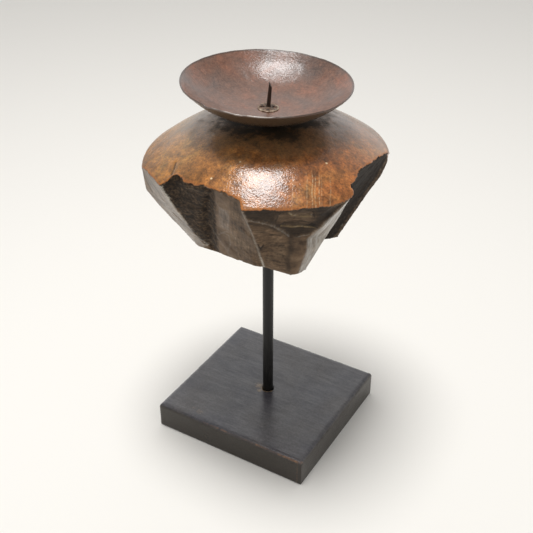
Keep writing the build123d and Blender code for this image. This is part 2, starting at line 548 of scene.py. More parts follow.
    def _soot_and_shade(self, put: Put, place: Socket) -> Socket:
        """Lay soot and painted shade round the crown, under the dish.

        Args:
            put: Adds a node.
            place: Object coordinates.

        Returns:
            How much soot and painted shade lies at each place, from 0 to 1.
        """
        flat = put("VectorMath", (place, FLAT), **MULTIPLY)
        reach = put("VectorMath", (flat, self.soot_and_shade_middle), **DISTANCE)
        pattern = {"Vector": place, "W": 5.3, "Scale": per_mm(14.0), "Detail": 9.0, "Roughness": 0.78}
        cloud = put("TexNoise", pattern, noise_dimensions="4D")
        ragged_reach = put("Math", (cloud, -self.soot_and_shade_stray, reach), **MULTIPLY_ADD)
        ends = (radius - self.soot_and_shade_stray / 2 for radius in (self.soot_and_shade_clear_r, self.soot_and_shade_full_r))
        return put("MapRange", (ragged_reach, *ends), interpolation_type="SMOOTHSTEP")

    def _dome_colour(self, put: Put, place: Socket, rim: Socket, side: Socket, depth: Socket) -> Socket:
        """Build the lacquered dome's colour below the soot.

        Args:
            put: Adds a node.
            place: Object coordinates.
            rim: Distance above the hewn border in millimetres.
            side: Place from left to right.
            depth: Place from front to back.

        Returns:
            The colour.
        """
        pattern = {"Vector": place, "Scale": per_mm(28.0), "Detail": 6.0, "Roughness": 0.6, "Distortion": 0.6}
        mottle = put("TexNoise", pattern)
        stops = ((0.30, self.umber), (0.41, self.brown), (0.53, self.orange), (0.70, self.ochre))
        ground = put("ValToRGB", (mottle,), stops=stops)
        redder = put("MapRange", (side, -5 * MM, 45 * MM, 0.0, 0.65))
        golden = put("MapRange", (side, 0.0, -55 * MM, 0.0, 0.75))
        golden = put("Math", (golden, mottle), **MULTIPLY)
        # Painted shade: the dome darker towards its left side
        shades = [put("MapRange", (side, -35 * MM, -80 * MM, 1.0, 0.70))]
        for size, low, high in self.mottling:
            pattern = {"Vector": place, "Scale": per_mm(size), "Detail": 5.0, "Roughness": 0.68, "Distortion": 0.3}
            shades.append(put("MapRange", (put("TexNoise", pattern), 0.32, 0.66, low, high)))
        pores = put("TexNoise", {"Vector": place, "Scale": per_mm(1.4), "Detail": 4.0, "Roughness": 0.7})
        pores = put("MapRange", (pores, 0.54, 0.34, 0.0, 0.6))
        # Dust, with painted sheen: greyer towards the back of the dome
        dust_and_sheen = put("MapRange", (depth, -56 * MM, 22 * MM, 0.0, 0.62))
        for start, end, least in self.less_dust_and_sheen:
            dust_and_sheen = put("Math", (dust_and_sheen, put("MapRange", (side, start, end, 1.0, least))), **MULTIPLY)
        far = put("MapRange", (depth, -40 * MM, 10 * MM))
        right = put("MapRange", (side, 5 * MM, 60 * MM, 0.0, -0.32))
        dim = put("Math", (far, right, 1.0), **MULTIPLY_ADD)
        # Paler line just above the border: wear, with a painted highlight where the rim turns
        edge = put("MapRange", (rim, 1.8, 0.2, 0.0, 0.6))
        pale = [self._scratches(put, place, side, depth)]
        for speck in self.specks:
            gap = put("VectorMath", (place, speck), **DISTANCE)
            pale.append(put("MapRange", (gap, 0.9 * MM, 0.5 * MM)))
        coats = [(redder, self.red), (golden, self.gold), *shades, (pores, self.pore), (dust_and_sheen, self.dust_and_sheen), dim]
        coats += [(edge, self.rim_wear_and_highlight), *((share, self.pale_line) for share in pale)]
        return painted(put, ground, *coats)

    def _scratches(self, put: Put, place: Socket, side: Socket, depth: Socket) -> Socket:
        """Draw the pale scratches that run down to the front border.

        Args:
            put: Adds a node.
            place: Object coordinates.
            side: Place from left to right.
            depth: Place from front to back.

        Returns:
            How scratched each place is, from 0 to 1.
        """
        drift = put("TexNoise", {"Vector": place, "Scale": per_mm(12.0), "Detail": 1.0})
        bent = put("Math", (drift, 2.4 * MM, side), **MULTIPLY_ADD)
        line: Any = 0.0
        for offset, strength in self.scratches:
            gap = put("Math", (bent, offset), operation="SUBTRACT")
            gap = put("Math", (gap,), operation="ABSOLUTE")
            near = put("MapRange", (gap, 0.5 * MM, 0.15 * MM, 0.0, strength))
            line = put("Math", (near, line), operation="MAXIMUM")
        reach = put("MapRange", (depth, -54 * MM, -60 * MM))
        grain = put("TexNoise", {"Vector": place, "Scale": per_mm(1.6), "Detail": 3.0})
        broken = put("MapRange", (grain, 0.38, 0.60, 0.1, 1.0))
        for share in (reach, broken):
            line = put("Math", (line, share), **MULTIPLY)
        return line

    def _hewn_colour(self, put: Put, place: Socket, tone: Socket, fibre: Socket) -> Socket:
        """Build the hewn faces' colour.

        Args:
            put: Adds a node.
            place: Object coordinates.
            tone: From -1 with painted shade in the notches to 1 with rub and painted sheen on the outer faces.
            fibre: Streaks along the grain.

        Returns:
            The colour.
        """
        cloud = put("TexNoise", {"Vector": place, "Scale": per_mm(13.0), "Detail": 6.0, "Roughness": 0.65})
        speck = put("TexNoise", {"Vector": place, "Scale": per_mm(2.2), "Detail": 4.0, "Roughness": 0.7})
        stops = ((0.28, self.stain_dark), (0.50, self.stain_mid), (0.74, self.stain_light))
        ground = put("ValToRGB", (cloud,), stops=stops)
        planed = put("MapRange", (tone, 0.06, 0.12, 0.0, 0.6))
        planed = put("Math", (planed, put("MapRange", (tone, 0.42, 0.28))), **MULTIPLY)
        shades = []
        for pattern, low, high in ((fibre, 0.55, 1.40), (speck, 0.60, 1.32)):
            shade = put("MapRange", (pattern, 0.32, 0.68, low, high))
            shades.append(put("Mix", {0: planed, 2: shade, 3: 1.0}))
        torn = put("MapRange", (speck, 0.42, 0.66, 0.62, 2.1))
        inside = put("MapRange", (tone, -0.3, -0.8))
        shades.append(put("Mix", {0: inside, 2: 1.0, 3: torn}))
        # Painted shade darkens the notches, and painted sheen lightens the rubbed outer faces
        shades.append(put("MapRange", (tone, -1.0, 0.0, 0.28, 1.0)))
        shades.append(put("MapRange", (tone, 0.0, 0.3, 1.0, 1.35)))
        shade_and_split, lip, arris = (put("Attribute", out="Fac", attribute_name=name) for name in ("recess", "lip", "arris"))
        # Pale grey on the rubbed outer faces: rub with painted sheen
        pale = put("MapRange", (tone, 0.3, 1.0, 0.0, 0.70))
        rubbed = put("MapRange", (fibre, 0.42, 0.56, 0.35, 1.0))
        broken = put("TexNoise", {"Vector": place, "Scale": per_mm(5.0), "Detail": 4.0})
        broken = put("MapRange", (broken, 0.40, 0.58, 0.45, 1.0))
        ragged = put("MapRange", (speck, 0.35, 0.55, 0.45, 1.0))
        pairs = ((pale, rubbed), (lip, broken), (arris, ragged))
        # The pale edges are wear with a painted highlight along the arrises
        pale, bare, worn = (put("Math", pair, **MULTIPLY) for pair in pairs)
        # Painted shade in the pockets, creases and right notch, and the dark seams and splits
        layers = ((pale, self.rubbed_sheen_grey), (shade_and_split, self.shade_and_split_dark), (bare, self.bare_wood), (worn, self.arris_wear_and_highlight))
        return painted(put, ground, *shades, *layers)


@dataclass(frozen=True)
class StainedBlock(Finish):
    """Planed hardwood, ebonised and rubbed with wax.

    The eye gets a soft grey sheen over a nearly black ground, fine grain along the block and bare brown at the edges.
    """

    name: str = "ebonised_hardwood"
    black: str = "#3f3e45"
    brown_black: str = "#4a4646"
    grain: str = "#5a5658"
    side_brown: str = "#2f2820"
    worn: str = "#856245"
    bare: str = "#a58a68"
    roughness: Span = (0.27, 0.40)
    specular: float = 0.40
    wax: float = 1.0
    side_wax: float = 0.25
    wax_roughness: float = 0.22
    # The grain is drawn coarser than the wood's own, so that it shows
    fibre_mm: float = 1.6
    fibre_stretch: Place = (0.10, 1.0, 1.0)

    # Cloud, rub, gaps in the wear, grit and dull patches: size in mm, detail and roughness
    patterns = ((30.0, 5.0, 0.5), (1.9, 6.0, 0.75), (9.0, 3.0, 0.5), (1.1, 4.0, 0.7), (18.0, 6.0, 0.65))

    def inputs(self, put: Put) -> Inputs:
        """Lay grain, wear and wax over the stain.

        Args:
            put: Adds a node.

        Returns:
            What feeds the shader.
        """
        place = put("TexCoord", out="Object")
        lie = put("Mapping", {"Vector": place, "Scale": self.fibre_stretch})
        fibre = put("TexNoise", {"Vector": lie, "Scale": per_mm(self.fibre_mm), "Detail": 5.0, "Roughness": 0.6})
        cloud, rub, gaps, grit, dull = (
            put("TexNoise", {"Vector": place, "Scale": per_mm(size), "Detail": detail, "Roughness": roughness})
            for size, detail, roughness in self.patterns
        )
        upright, edge, chip = (
            put("Attribute", out="Fac", attribute_name=name) for name in ("side", "edge_wear", "bare")
        )
        ground = put("ValToRGB", (cloud,), stops=((0.35, self.black), (0.65, self.brown_black)))
        lines = put("MapRange", (fibre, 0.48, 0.70, 0.0, 0.55))
        shade = put("MapRange", (rub, 0.3, 0.7, 0.62, 1.36))
        worn, chips = (put("Math", pair, **MULTIPLY) for pair in ((edge, rub), (chip, grit)))
        worn = put("MapRange", (worn, 0.24, 0.52))
        worn = put("Math", (worn, put("MapRange", (gaps, 0.44, 0.58, 0.2, 1.0))), **MULTIPLY)
        chips = put("MapRange", (chips, 0.30, 0.60, 0.0, 0.75))
        coats = ((lines, self.grain), (upright, self.side_brown), shade, (worn, self.worn), (chips, self.bare))
        relief = put("Math", (fibre, 0.6, rub), **MULTIPLY_ADD)
        bump = put("Bump", {"Height": relief, "Strength": 0.24, "Distance": 0.3 * MM})
        wax = put("MapRange", {0: upright, 3: self.wax, 4: self.side_wax})
        for pattern, low in ((fibre, 0.66), (dull, 0.68)):
            wax = put("Math", (wax, put("MapRange", (pattern, 0.36, 0.56, low, 1.0))), **MULTIPLY)
        return {
            "Base Color": painted(put, ground, *coats),
            "Roughness": put("MapRange", (cloud, 0.3, 0.7, *self.roughness)),
            "Normal": bump,
            "Coat Normal": bump,
            "Coat Weight": wax,
            "Coat Roughness": self.wax_roughness,
            "Specular IOR Level": self.specular,
        }


@dataclass(frozen=True)
class DishPatina(Finish):
    """Raised sheet iron with a rust-brown patina under clear lacquer.

    The eye gets a finely pitted brown with orange rust blooms and a broad, soft white highlight.
    """

    name: str = "patinated_sheet_iron"
    brown: str = "#6f4f3f"
    grey_brown: str = "#5f4a40"
    rust: str = "#82523b"
    dark: str = "#4b3c2e"
    edge: str = "#33271f"
    # Pale lip at the front: wear with a painted highlight
    rubbed: str = "#d8d2ca"
    roughness: Span = (0.38, 0.52)
    specular: float = 0.30
    coat: float = 0.85
    coat_roughness: float = 0.20

    # Cloud, grit and blots: size in mm, detail, roughness and distortion
    patterns = ((26.0, 6.0, 0.6, 0.4), (1.5, 5.0, 0.72, 0.0), (4.0, 4.0, 0.65, 0.0))

    def inputs(self, put: Put) -> Inputs:
        """Mottle the patina, darken its outside and rub its lip.

        Args:
            put: Adds a node.

        Returns:
            What feeds the shader.
        """
        place = put("TexCoord", out="Object")
        names = ("Vector", "Scale", "Detail", "Roughness", "Distortion")
        cloud, grit, blot = (
            put("TexNoise", dict(zip(names, (place, per_mm(size), *rest)))) for size, *rest in self.patterns
        )
        ground = put("ValToRGB", (cloud,), stops=((0.34, self.grey_brown), (0.50, self.brown), (0.68, self.rust)))
        shades = ((grit, 0.62, 1.28), (blot, 0.78, 1.16))
        coats = [put("MapRange", (pattern, 0.32, 0.68, low, high)) for pattern, low, high in shades]
        # The rubbed mark is the front of the lip, worn and with a painted highlight
        for mark, colour in (("outside", self.dark), ("lip", self.edge), ("rubbed", self.rubbed)):
            coats.append((put("Attribute", out="Fac", attribute_name=mark), colour))
        relief = put("Math", (blot, 0.8, grit), **MULTIPLY_ADD)
        bump = put("Bump", {"Height": relief, "Strength": 0.5, "Distance": 0.3 * MM})
        return {
            "Base Color": painted(put, ground, *coats),
            "Roughness": put("MapRange", (cloud, 0.3, 0.7, *self.roughness)),
            "Normal": bump,
            "Coat Normal": bump,
            "Coat Weight": self.coat,
            "Coat Roughness": self.coat_roughness,
            "Specular IOR Level": self.specular,
        }


@dataclass(frozen=True)
class IronPaint(Finish):
    """Round bar and welds brushed with satin black paint.

    The eye gets a narrow soft gleam down the bar, faintly streaked along it.
    """

    name: str = "satin_black_iron_paint"
    black: str = "#0d0c0b"
    rubbed: str = "#1f1c1a"
    roughness: Span = (0.36, 0.52)
    specular: float = 0.40
    grit_mm: float = 1.4
    stretch: Place = (1.0, 1.0, 0.12)

    def inputs(self, put: Put) -> Inputs:
        """Streak the paint along the bar.

        Args:
            put: Adds a node.

        Returns:
            What feeds the shader.
        """
        lie = put("Mapping", {"Vector": put("TexCoord", out="Object"), "Scale": self.stretch})
        streak = put("TexNoise", {"Vector": lie, "Scale": per_mm(self.grit_mm), "Detail": 4.0})
        return {
            "Base Color": put("ValToRGB", (streak,), stops=((0.40, self.black), (0.75, self.rubbed))),
            "Roughness": put("MapRange", (streak, 0.3, 0.7, *self.roughness)),
            "Normal": put("Bump", {"Height": streak, "Strength": 0.10, "Distance": 0.2 * MM}),
            "Specular IOR Level": self.specular,
        }


@dataclass(frozen=True)
class WeldCrust(Finish):
    """Brazed weld.

    The eye gets brown metal with a broken cream rim of flux, and pits darkened with painted shade.
    """

    name: str = "brazed_weld_crust"
    brown: str = "#6e5644"
    flux: str = "#b9a58c"
    black: str = "#221a15"
    roughness: float = 0.42
    metallic: float = 0.25
    flux_stray: float = 2.0 * MM
    flux_in_r: float = 5.2 * MM
    flux_out_r: float = 6.6 * MM

    def inputs(self, put: Put) -> Inputs:
        """Ring the weld with flux and darken its pits with painted shade.

        Args:
            put: Adds a node.

        Returns:
            What feeds the shader.
        """
        place = put("TexCoord", out="Object")
        grit = put("TexNoise", {"Vector": place, "Scale": per_mm(2.0), "Detail": 5.0, "Roughness": 0.7})
        flat = put("VectorMath", (place, FLAT), **MULTIPLY)
        reach = put("VectorMath", (flat,), "Value", operation="LENGTH")
        ragged = put("Math", (grit, self.flux_stray, reach), **MULTIPLY_ADD)
        ends = (radius + self.flux_stray / 2 for radius in (self.flux_in_r, self.flux_out_r))
        ring = put("MapRange", (ragged, *ends))
        gaps = put("TexNoise", {"Vector": place, "Scale": per_mm(5.0), "Detail": 3.0})
        gaps = put("MapRange", (gaps, 0.38, 0.58, 0.15, 0.9))
        ring = put("Math", (ring, gaps), **MULTIPLY)
        # Hollows of the weld, darkened with painted shade
        pit = put("Attribute", out="Fac", attribute_name="pit")
        ground = put("ValToRGB", (grit,), stops=((0.36, self.black), (0.58, self.brown)))
        return {
            "Base Color": painted(put, ground, (ring, self.flux), (pit, self.black)),
            "Normal": put("Bump", {"Height": grit, "Strength": 0.3, "Distance": 0.3 * MM}),
            "Roughness": self.roughness,
            "Metallic": self.metallic,
        }


@dataclass(frozen=True)
class FloorPaint(Finish):
    """Matt pale paint, which gives the eye a plain ground and a soft shadow."""

    name: str = "pale_floor"
    colour: str = "#efece6"
    roughness: float = 0.9

    def inputs(self, put: Put) -> Inputs:
        """Return what feeds the shader; no node is needed."""
        return {"Base Color": self.colour, "Roughness": self.roughness}


def finish_piece(piece: Piece, finish: Finish, replaced: Iterable[str], smooth_deg: float = 180.0) -> None:
    """Dress a finished mesh and tie it to the frame.

    Args:
        piece: The new piece.
        finish: Its finish.
        replaced: CAD nodes that it stands for.
        smooth_deg: Edges sharper than this stay sharp.
    """
    piece.data.materials.clear()
    piece.data.materials.append(finish.make())
    select_only(piece)
    if smooth_deg < 180.0:
        bpy.ops.object.shade_smooth_by_angle(angle=math.radians(smooth_deg))
    else:
        bpy.ops.object.shade_smooth()
    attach(piece, BODY)
    for node in replaced:
        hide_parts(node)
    LOG.info("%s: %d faces", piece.name, len(piece.data.polygons))


# Sub-assemblies


@dataclass
class Skin:
    """What is known of the hub's vertices while they are carved.

    Signed is the distance above the dome's border, negative below it. Side is 1 on the hewn faces, and hewn is 1 there
    away from the border.
    """

    mesh: Mesh
    points: Array
    edges: Array
    axes: Array
    local: Array
    at: Around
    dome: Array
    signed: Array
    side: Array
    hewn: Array


@dataclass
class HewnHub:
    """The wooden hub: turned dome, hewn teeth and notches, chips, tool marks and splits."""

    pivot: Place = (-0.8 * MM, -0.5 * MM, 200 * MM)
    tilt_deg: Span = (1.2, -2.0)
    pivot_rise: float = 43 * MM
    voxel: float = 0.97 * MM
    dome_up: float = 0.30
    bore_clear: float = 30 * MM
    bore_reach: float = 6 * MM
    # Where the hewn marks fade: by slope, near the rod and near the border
    upright: Span = (-0.2, 0.0)
    under: Span = (0.86, 0.95)
    off_rod: Span = (20 * MM, 26 * MM)
    off_border: Span = (0.2 * MM, 1.6 * MM)
    cut_wide: float = 12 * MM
    cut_tall: float = 25 * MM
    cut_girth: float = 62 * MM
    cut_rise: float = 90 * MM
    cut_depth: float = 0.35 * MM
    cut_slope: float = 0.045
    cut_jitter: Span = (0.42, 0.4)
    cut_vary: float = 0.6
    cut_lean: float = 0.4
    cut_most: float = 1.05 * MM
    rough_depth: float = 0.55 * MM
    rough_noise: Ripple = Ripple(5 * MM, 4, 2.2)
    wave_depth: float = 0.16 * MM
    wave_noise: Ripple = Ripple(30 * MM, 2)
    wave_from: Span = (2 * MM, 9 * MM)
    groove_depth: float = 2.0 * MM
    groove_half: float = 3.0 * MM
    groove_shift_deg: float = 0.6
    groove_stray: float = 1.2 * MM
    groove_sway: float = 0.4
    groove_noise: Ripple = Ripple(8 * MM, 3, 7.7)
    split_depth: float = 0.7 * MM
    split_half: float = 0.55 * MM
    seam_depth: float = 0.35 * MM
    seam_half: float = 0.78 * MM
    stop_share: float = 0.6
    crease_half: float = 1.8 * MM
    line_stray: float = 0.8 * MM
    line_noise: Ripple = Ripple(5 * MM, 3, 4.1)
    line_least_reach: float = 10 * MM
    ridge_depth: float = 1.5 * MM
    ridge_rise: float = 2.2
    ridge_from: Span = (290.0, 292.0)
    pocket_depth: float = 0.7 * MM
    pocket_end: float = 0.75
    pocket_lip: Span = (0.0, 1.0)
    pocket_top: Span = (3.0, 6.0)
    ridge_end: Span = (-2.0, 0.0)
    lip_half: float = 0.45 * MM
    chip_reach: float = 2.2 * MM
    chip_noise: Ripple = Ripple(4.5 * MM, 4, 3.7)
    chip_bias: float = 0.2
    chip_half: float = 1.8 * MM
    chip_from: Span = (60 * MM, 64 * MM)
    chip_way: Span = (-0.75, 0.66)
    plain_ragged: float = 0.18
    settle_from: Span = (1.5 * MM, 4 * MM)
    bite_keep: float = 0.85
    bite_fade: Span = (0.6 * MM, 2.4 * MM)
    bite_settle: Span = (0.3 * MM, 1.2 * MM)
    bite_spread: float = 1.6
    # Lacquer rolled over the right tooth: degrees past its edge and height in mm where it starts, and how it ends
    roll_start: Span = (0.8, 60.6)
    roll_lean: float = 0.6
    roll_soft: float = 0.6
    roll_left: Span = (-4.0, -3.0)
    roll_foot: Span = (53.0, 55.0)
    roll_climb: float = 1.6
    roll_level: float = 1.0
    roll_rim: Span = (6.0, -3.0)
    rim_most: float = 20.0
    # Paler oval among the pockets, where their painted shade is lighter:
    # bearing and height in mm of its middle, and its half sizes
    oval_middle: Span = (316.0, 53.5)
    oval_half: Span = (10.5, 11.0)
    oval_edge: Span = (0.75, 1.15)
    oval_share: float = 0.62
    # How dark the painted shade in the pockets, creases and right notch is, and how dark the seams and splits are
    darkening: tuple[float, ...] = (1.0, 0.92, 0.6, 1.0, 0.8)
    pocket_full: float = 1.9 * MM
    proud_full: float = 0.30 * MM
    proud_pale: Span = (2.0, -0.35)
    proud_faint: Span = (1.6, -1.0)
    faint_most: float = 0.2
    faint_from: Span = (-0.6, -0.1)
    arris_half: float = 1.8 * MM
    right_pale: float = 0.35
    front_half: float = 0.6 * MM
    front_pale: float = 0.9
    front_less: float = 0.58
    front_fade: Span = (4 * MM, 24 * MM)
    cut_edge_half: float = 0.5 * MM
    cut_edge_pale: float = 0.13
    # Tones: painted shade in the notches, rub with painted sheen on the outer faces; and the bearings of the notches at
    # the back
    left_tone: float = 0.30
    left_rub_and_sheen: float = 0.25
    left_rub_and_sheen_from: Span = (-38.0, -8.0)
    valley_dark: float = 0.95
    front_tone: float = 0.05
    front_foot_tone: float = 0.22
    front_foot_from: Span = (313.0, 317.0)
    front_foot_top: Span = (30.0, 34.0)
    patch_soft: Span = (0.05, 1.0)
    notch_dark: float = 0.97
    right_lift: float = 0.40
    right_ends: Span = (60.0, 55.0)
    back_dark: float = 0.7
    back_notches: Span = (77.0, 173.0)
    back_half: float = 13.0
    line_soft: float = 0.5
    grain_shift: float = 30 * MM
    grain_reach_deg: float = 60.0

    # Lines down the hewn faces: height over the hub's foot in mm, bearing in degrees
    left_back = ((0, 196), (30, 190), (46, 188), (79, 186))
    left_arris = ((0, 224.5), (8.3, 226), (25, 231.8), (41, 237.6), (59, 241.6), (79, 247))
    valley = (
        (0, 227.5), (9, 234.3), (20.5, 242.7), (32.7, 250.7), (44.4, 257.2), (56.3, 264), (68.3, 270.1), (79, 273)
    )
    valley_edge = ((0, 235), (7, 239.7), (23.5, 252), (41.5, 261.9), (58.6, 269.6), (73, 274.5), (79, 277))
    facet_step = ((0, 262), (34.7, 274.1), (46.8, 278.3), (60.2, 282.1), (71.5, 284.3), (79, 286))
    front_arris = (
        (0, 294.8), (4.7, 294.3), (15.1, 293.6), (26.5, 293.0), (39.3, 292.0), (53.3, 291.0), (62.9, 290.0), (79, 290.0)
    )
    narrow_left = ((0, 324.0), (20.4, 328.6), (33, 327.6), (48.8, 330.6), (57, 336.5), (66, 344))
    narrow_right = ((0, 334), (30, 340), (46, 342), (79, 346.4))
    right_arris = ((0, 388.5), (30, 386.5), (46, 386), (79, 383.5))
    right_edge = ((0, 390.2), (30, 390.3), (46, 390.3), (79, 389.6))
    # Lip of the front tooth under the dome's edge: bearing in degrees, height over the hub's foot in mm
    ridge_line = (
        (288, 60), (293, 56.5), (298.5, 53), (304, 48), (310, 40.8), (316.5, 32.4), (322, 33.5), (327.5, 35.5),
        (336, 50), (345, 64),
    )
    # Splinter pockets above it, along their bare lips: bearing in degrees, height in mm
    pocket_lips = (
        ((311.7, 61.4), (313.5, 58.4), (315.8, 56.3), (319.5, 54.2), (323.2, 54.6)),
        ((309.5, 45.0), (315.6, 42.8), (320.5, 44.0), (327.5, 42.1)),
    )
    # Splits: bearing in degrees and height in mm along each
    splits = (
        ((246.2, 75.0), (244.6, 77.0), (241.2, 79.4)),
        ((293.9, 28.7), (295.2, 22.6), (296.5, 24.5), (297.8, 26.9)),
    )
    # Dark seams round the splinter
    seams = (
        ((306.2, 50.0), (306.2, 54.3), (307.5, 60.0), (309.4, 63.1), (315.9, 64.2), (322.5, 60.3), (325.0, 54.0)),
        ((309.0, 46.5), (315.0, 48.5), (320.0, 49.7), (324.5, 48.0)),
    )
    # Short marks where the tool stopped
    stops = (
        ((303.0, 26.5), (307.2, 25.9), (312.2, 25.5)),
        ((303.4, 20.2), (308.0, 18.0), (313.2, 16.6)),
        ((297.5, 42.0), (303.0, 38.5), (309.0, 36.0)),
        ((299.0, 13.0), (304.0, 11.0), (310.5, 9.5)),
    )
    # Soft painted shade along the creases between the front tooth's lower faces
    creases = (
        ((316.2, 33.5), (317.2, 25.0), (316.0, 16.8), (315.6, 4.0)),
        ((292.0, 54.0), (300.0, 50.0), (308.0, 42.0), (316.2, 33.5)),
    )
    # Pale edges of shallow cuts on the flat facet: bearing in degrees, height in mm
    cut_edges = (
        ((259.3, 27.9), (267.7, 28.0), (264.0, 18.6), (253.5, 8.0)),
        ((248.7, 26.2), (250.8, 14.3), (252.2, 2.5)),
        ((254.9, 24.5), (266.0, 31.0), (273.5, 33.4), (274.1, 26.3)),
    )
    # Bites out of the dome's border: middle, push and reach in mm
    bites = (
        ((72.0, -18.5, 230.5), (-0.4, -3.8, -0.2), 3.6),
        ((71.6, -22.2, 230.2), (-0.2, -2.0, -0.1), 2.2),
        ((73.5, -22.4, 229.4), (-2.2, -1.3, 0.9), 2.5),
        ((-17.0, -68.0, 228.0), (-0.5, -2.2, -2.0), 4.0),
        ((-10.5, -69.0, 229.0), (-0.2, -1.4, -1.3), 4.5),
        ((-24.5, -67.6, 228.8), (0.4, 1.4, 1.0), 2.0),
        ((-28.5, -67.2, 229.2), (0.4, 1.0, 0.8), 1.6),
    )
    # Pale planed patches on the flat facet: share across it from and to, height from and to in mm, tone
    patches = ((0.0, 1.0, -5.0, 90.0, 0.12), (0.16, 0.94, 33.0, 58.0, 0.24), (0.25, 0.60, 8.0, 26.0, 0.10))
    # Ragged stretches of the dome's border: middle bearing, half width and strength
    ragged = (
        (250.0, 7.0, 1.4), (272.0, 10.0, 0.5), (283.0, 7.0, 0.7), (315.0, 26.0, 0.25), (5.0, 22.0, 0.4),
        (110.0, 60.0, 0.5), (200.0, 25.0, 0.4),
    )

    def build(self, finish: HubWood) -> Piece:
        """Model the hub.

        Args:
            finish: The hub's wood.

        Returns:
            The finished piece.
        """
        hub = merged_copy("carved_hub", "hewn_hub")
        apply_modifier(hub, "REMESH", mode="VOXEL", voxel_size=self.voxel)
        skin = self._survey(hub.data)
        at = skin.at
        # Tone: painted shade in the notches, rub with painted sheen on the outer faces
        tone = neighbour_mean(self._tone(at), skin.edges, 1) * skin.side
        recess = self._front_pockets(at)
        crack = at.near(self.splits, self.split_half)
        stray = self.line_stray * self.line_noise.at(skin.points) / np.maximum(at.reach, self.line_least_reach)
        strayed = replace(at, bearing=at.bearing + np.degrees(stray))
        seam, stop = (strayed.near(lines, self.seam_half) for lines in (self.seams, self.stops))
        seam = np.maximum(seam, self.stop_share * stop) * skin.hewn
        crease = strayed.near(self.creases, self.crease_half) * skin.hewn

        inward = -neighbour_mean(vectors_of(skin.mesh, "normal"), skin.edges, 2)
        depth = self._depth(skin, tone, recess) + self.split_depth * crack + self.seam_depth * seam
        carved = skin.points + inward * depth[:, None]
        set_points(skin.mesh, self._chipped(skin, carved, 1.0 - crack))

        gain, bias = self.roll_rim
        rim = np.maximum(np.clip(skin.signed / MM, -self.rim_most, self.rim_most), gain * self._rolled(at) + bias)
        off_oval = [(v - m) / h for v, m, h in zip((at.bearing, at.height / MM), self.oval_middle, self.oval_half)]
        oval = 1.0 - step(np.hypot(*off_oval), *self.oval_edge)
        # Painted shade in the pockets, lighter on the oval, in the creases and in the right notch
        pocket = np.clip(recess / self.pocket_full, 0.0, 1.0) * (1.0 - self.oval_share * oval) * skin.side
        past_narrow, past_right = (self._passed(at, line) for line in (self.narrow_right, self.right_edge))
        dark = (pocket, seam, crease, crack, past_narrow * (1.0 - past_right) * skin.side)
        set_attributes(
            skin.mesh,
            rim_mm=rim,
            tone=tone,
            grain=self._grain(at),
            recess=np.maximum.reduce([share * mark for share, mark in zip(self.darkening, dark)]),
            lip=at.near(self.pocket_lips, self.lip_half) * skin.side,
            crack=crack,
            arris=self._pale_edges(skin, tone) * skin.hewn * (1.0 - crack),
        )
        finish_piece(hub, finish, ["carved_hub"])
        return hub

    def _survey(self, mesh: Mesh) -> Skin:
        """Measure the evenly meshed hub against the CAD solid.

        Args:
            mesh: The hub's mesh.

        Returns:
            What is known of its vertices.
        """
        points, edges = vectors_of(mesh), edges_of(mesh)
        axes = np.array(tilted(*self.tilt_deg).transposed())
        local = (points - np.array(self.pivot)) @ axes.T
        bearing = np.degrees(np.arctan2(local[:, 1], local[:, 0])) % 360.0
        at = Around(bearing, local[:, 2] + self.pivot_rise, np.hypot(local[:, 0], local[:, 1]))
        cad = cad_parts["carved_hub"].data
        tree = BVHTree.FromPolygons([v.co[:] for v in cad.vertices], [p.vertices[:] for p in cad.polygons])
        up = np.array([tree.find_nearest(Vector(p))[1].dot(Vector(axes[2])) for p in points])
        dome = (up > self.dome_up) & (at.reach > self.bore_reach)
        cross = edges[(dome[edges[:, 0]] != dome[edges[:, 1]]) & (at.reach[edges[:, 0]] > self.bore_clear)]
        _, border = nearest(points[cross].mean(1), points)
        signed = np.where(dome, border, -border)
        side = step(-up, *self.upright) * (1.0 - step(-up, *self.under)) * step(at.reach, *self.off_rod)
        hewn = step(-signed, *self.off_border) * side
        return Skin(mesh, points, edges, axes, local, at, dome, signed, side, hewn)

    def _passed(self, at: Around, line: Line) -> Array:
        """Return 1 past a line down the hub and 0 before it, with a soft edge."""
        return step(at.past(line), -self.line_soft, self.line_soft)

    def _depth(self, skin: Skin, tone: Array, recess: Array) -> Array:
        """Return how deep tool cuts, torn wood, the valley's groove and the dome's waves go.

        Args:
            skin: What is known of the vertices.
            tone: Dark and pale faces.
            recess: Depth of the front tooth's undercut.

        Returns:
            Depth at each vertex.
        """
        points, at = skin.points, skin.at
        rough = self.rough_depth * (0.5 + 0.5 * self.rough_noise.at(points)) * np.clip(-tone, 0.0, 1.0)
        jitter = self.groove_noise.at(points)
        from_valley = np.radians(at.past(self.valley) + self.groove_shift_deg) * at.reach + self.groove_stray * jitter
        groove = self.groove_depth * (1.0 + self.groove_sway * jitter) * bell(from_valley, self.groove_half)
        depth = (neighbour_mean(self._cuts(at), skin.edges, 2) + recess + rough + groove) * skin.hewn
        waves = self.wave_depth * (0.5 + 0.5 * self.wave_noise.at(points)) * step(skin.signed, *self.wave_from)
        return depth + np.where(skin.dome, waves, 0.0)

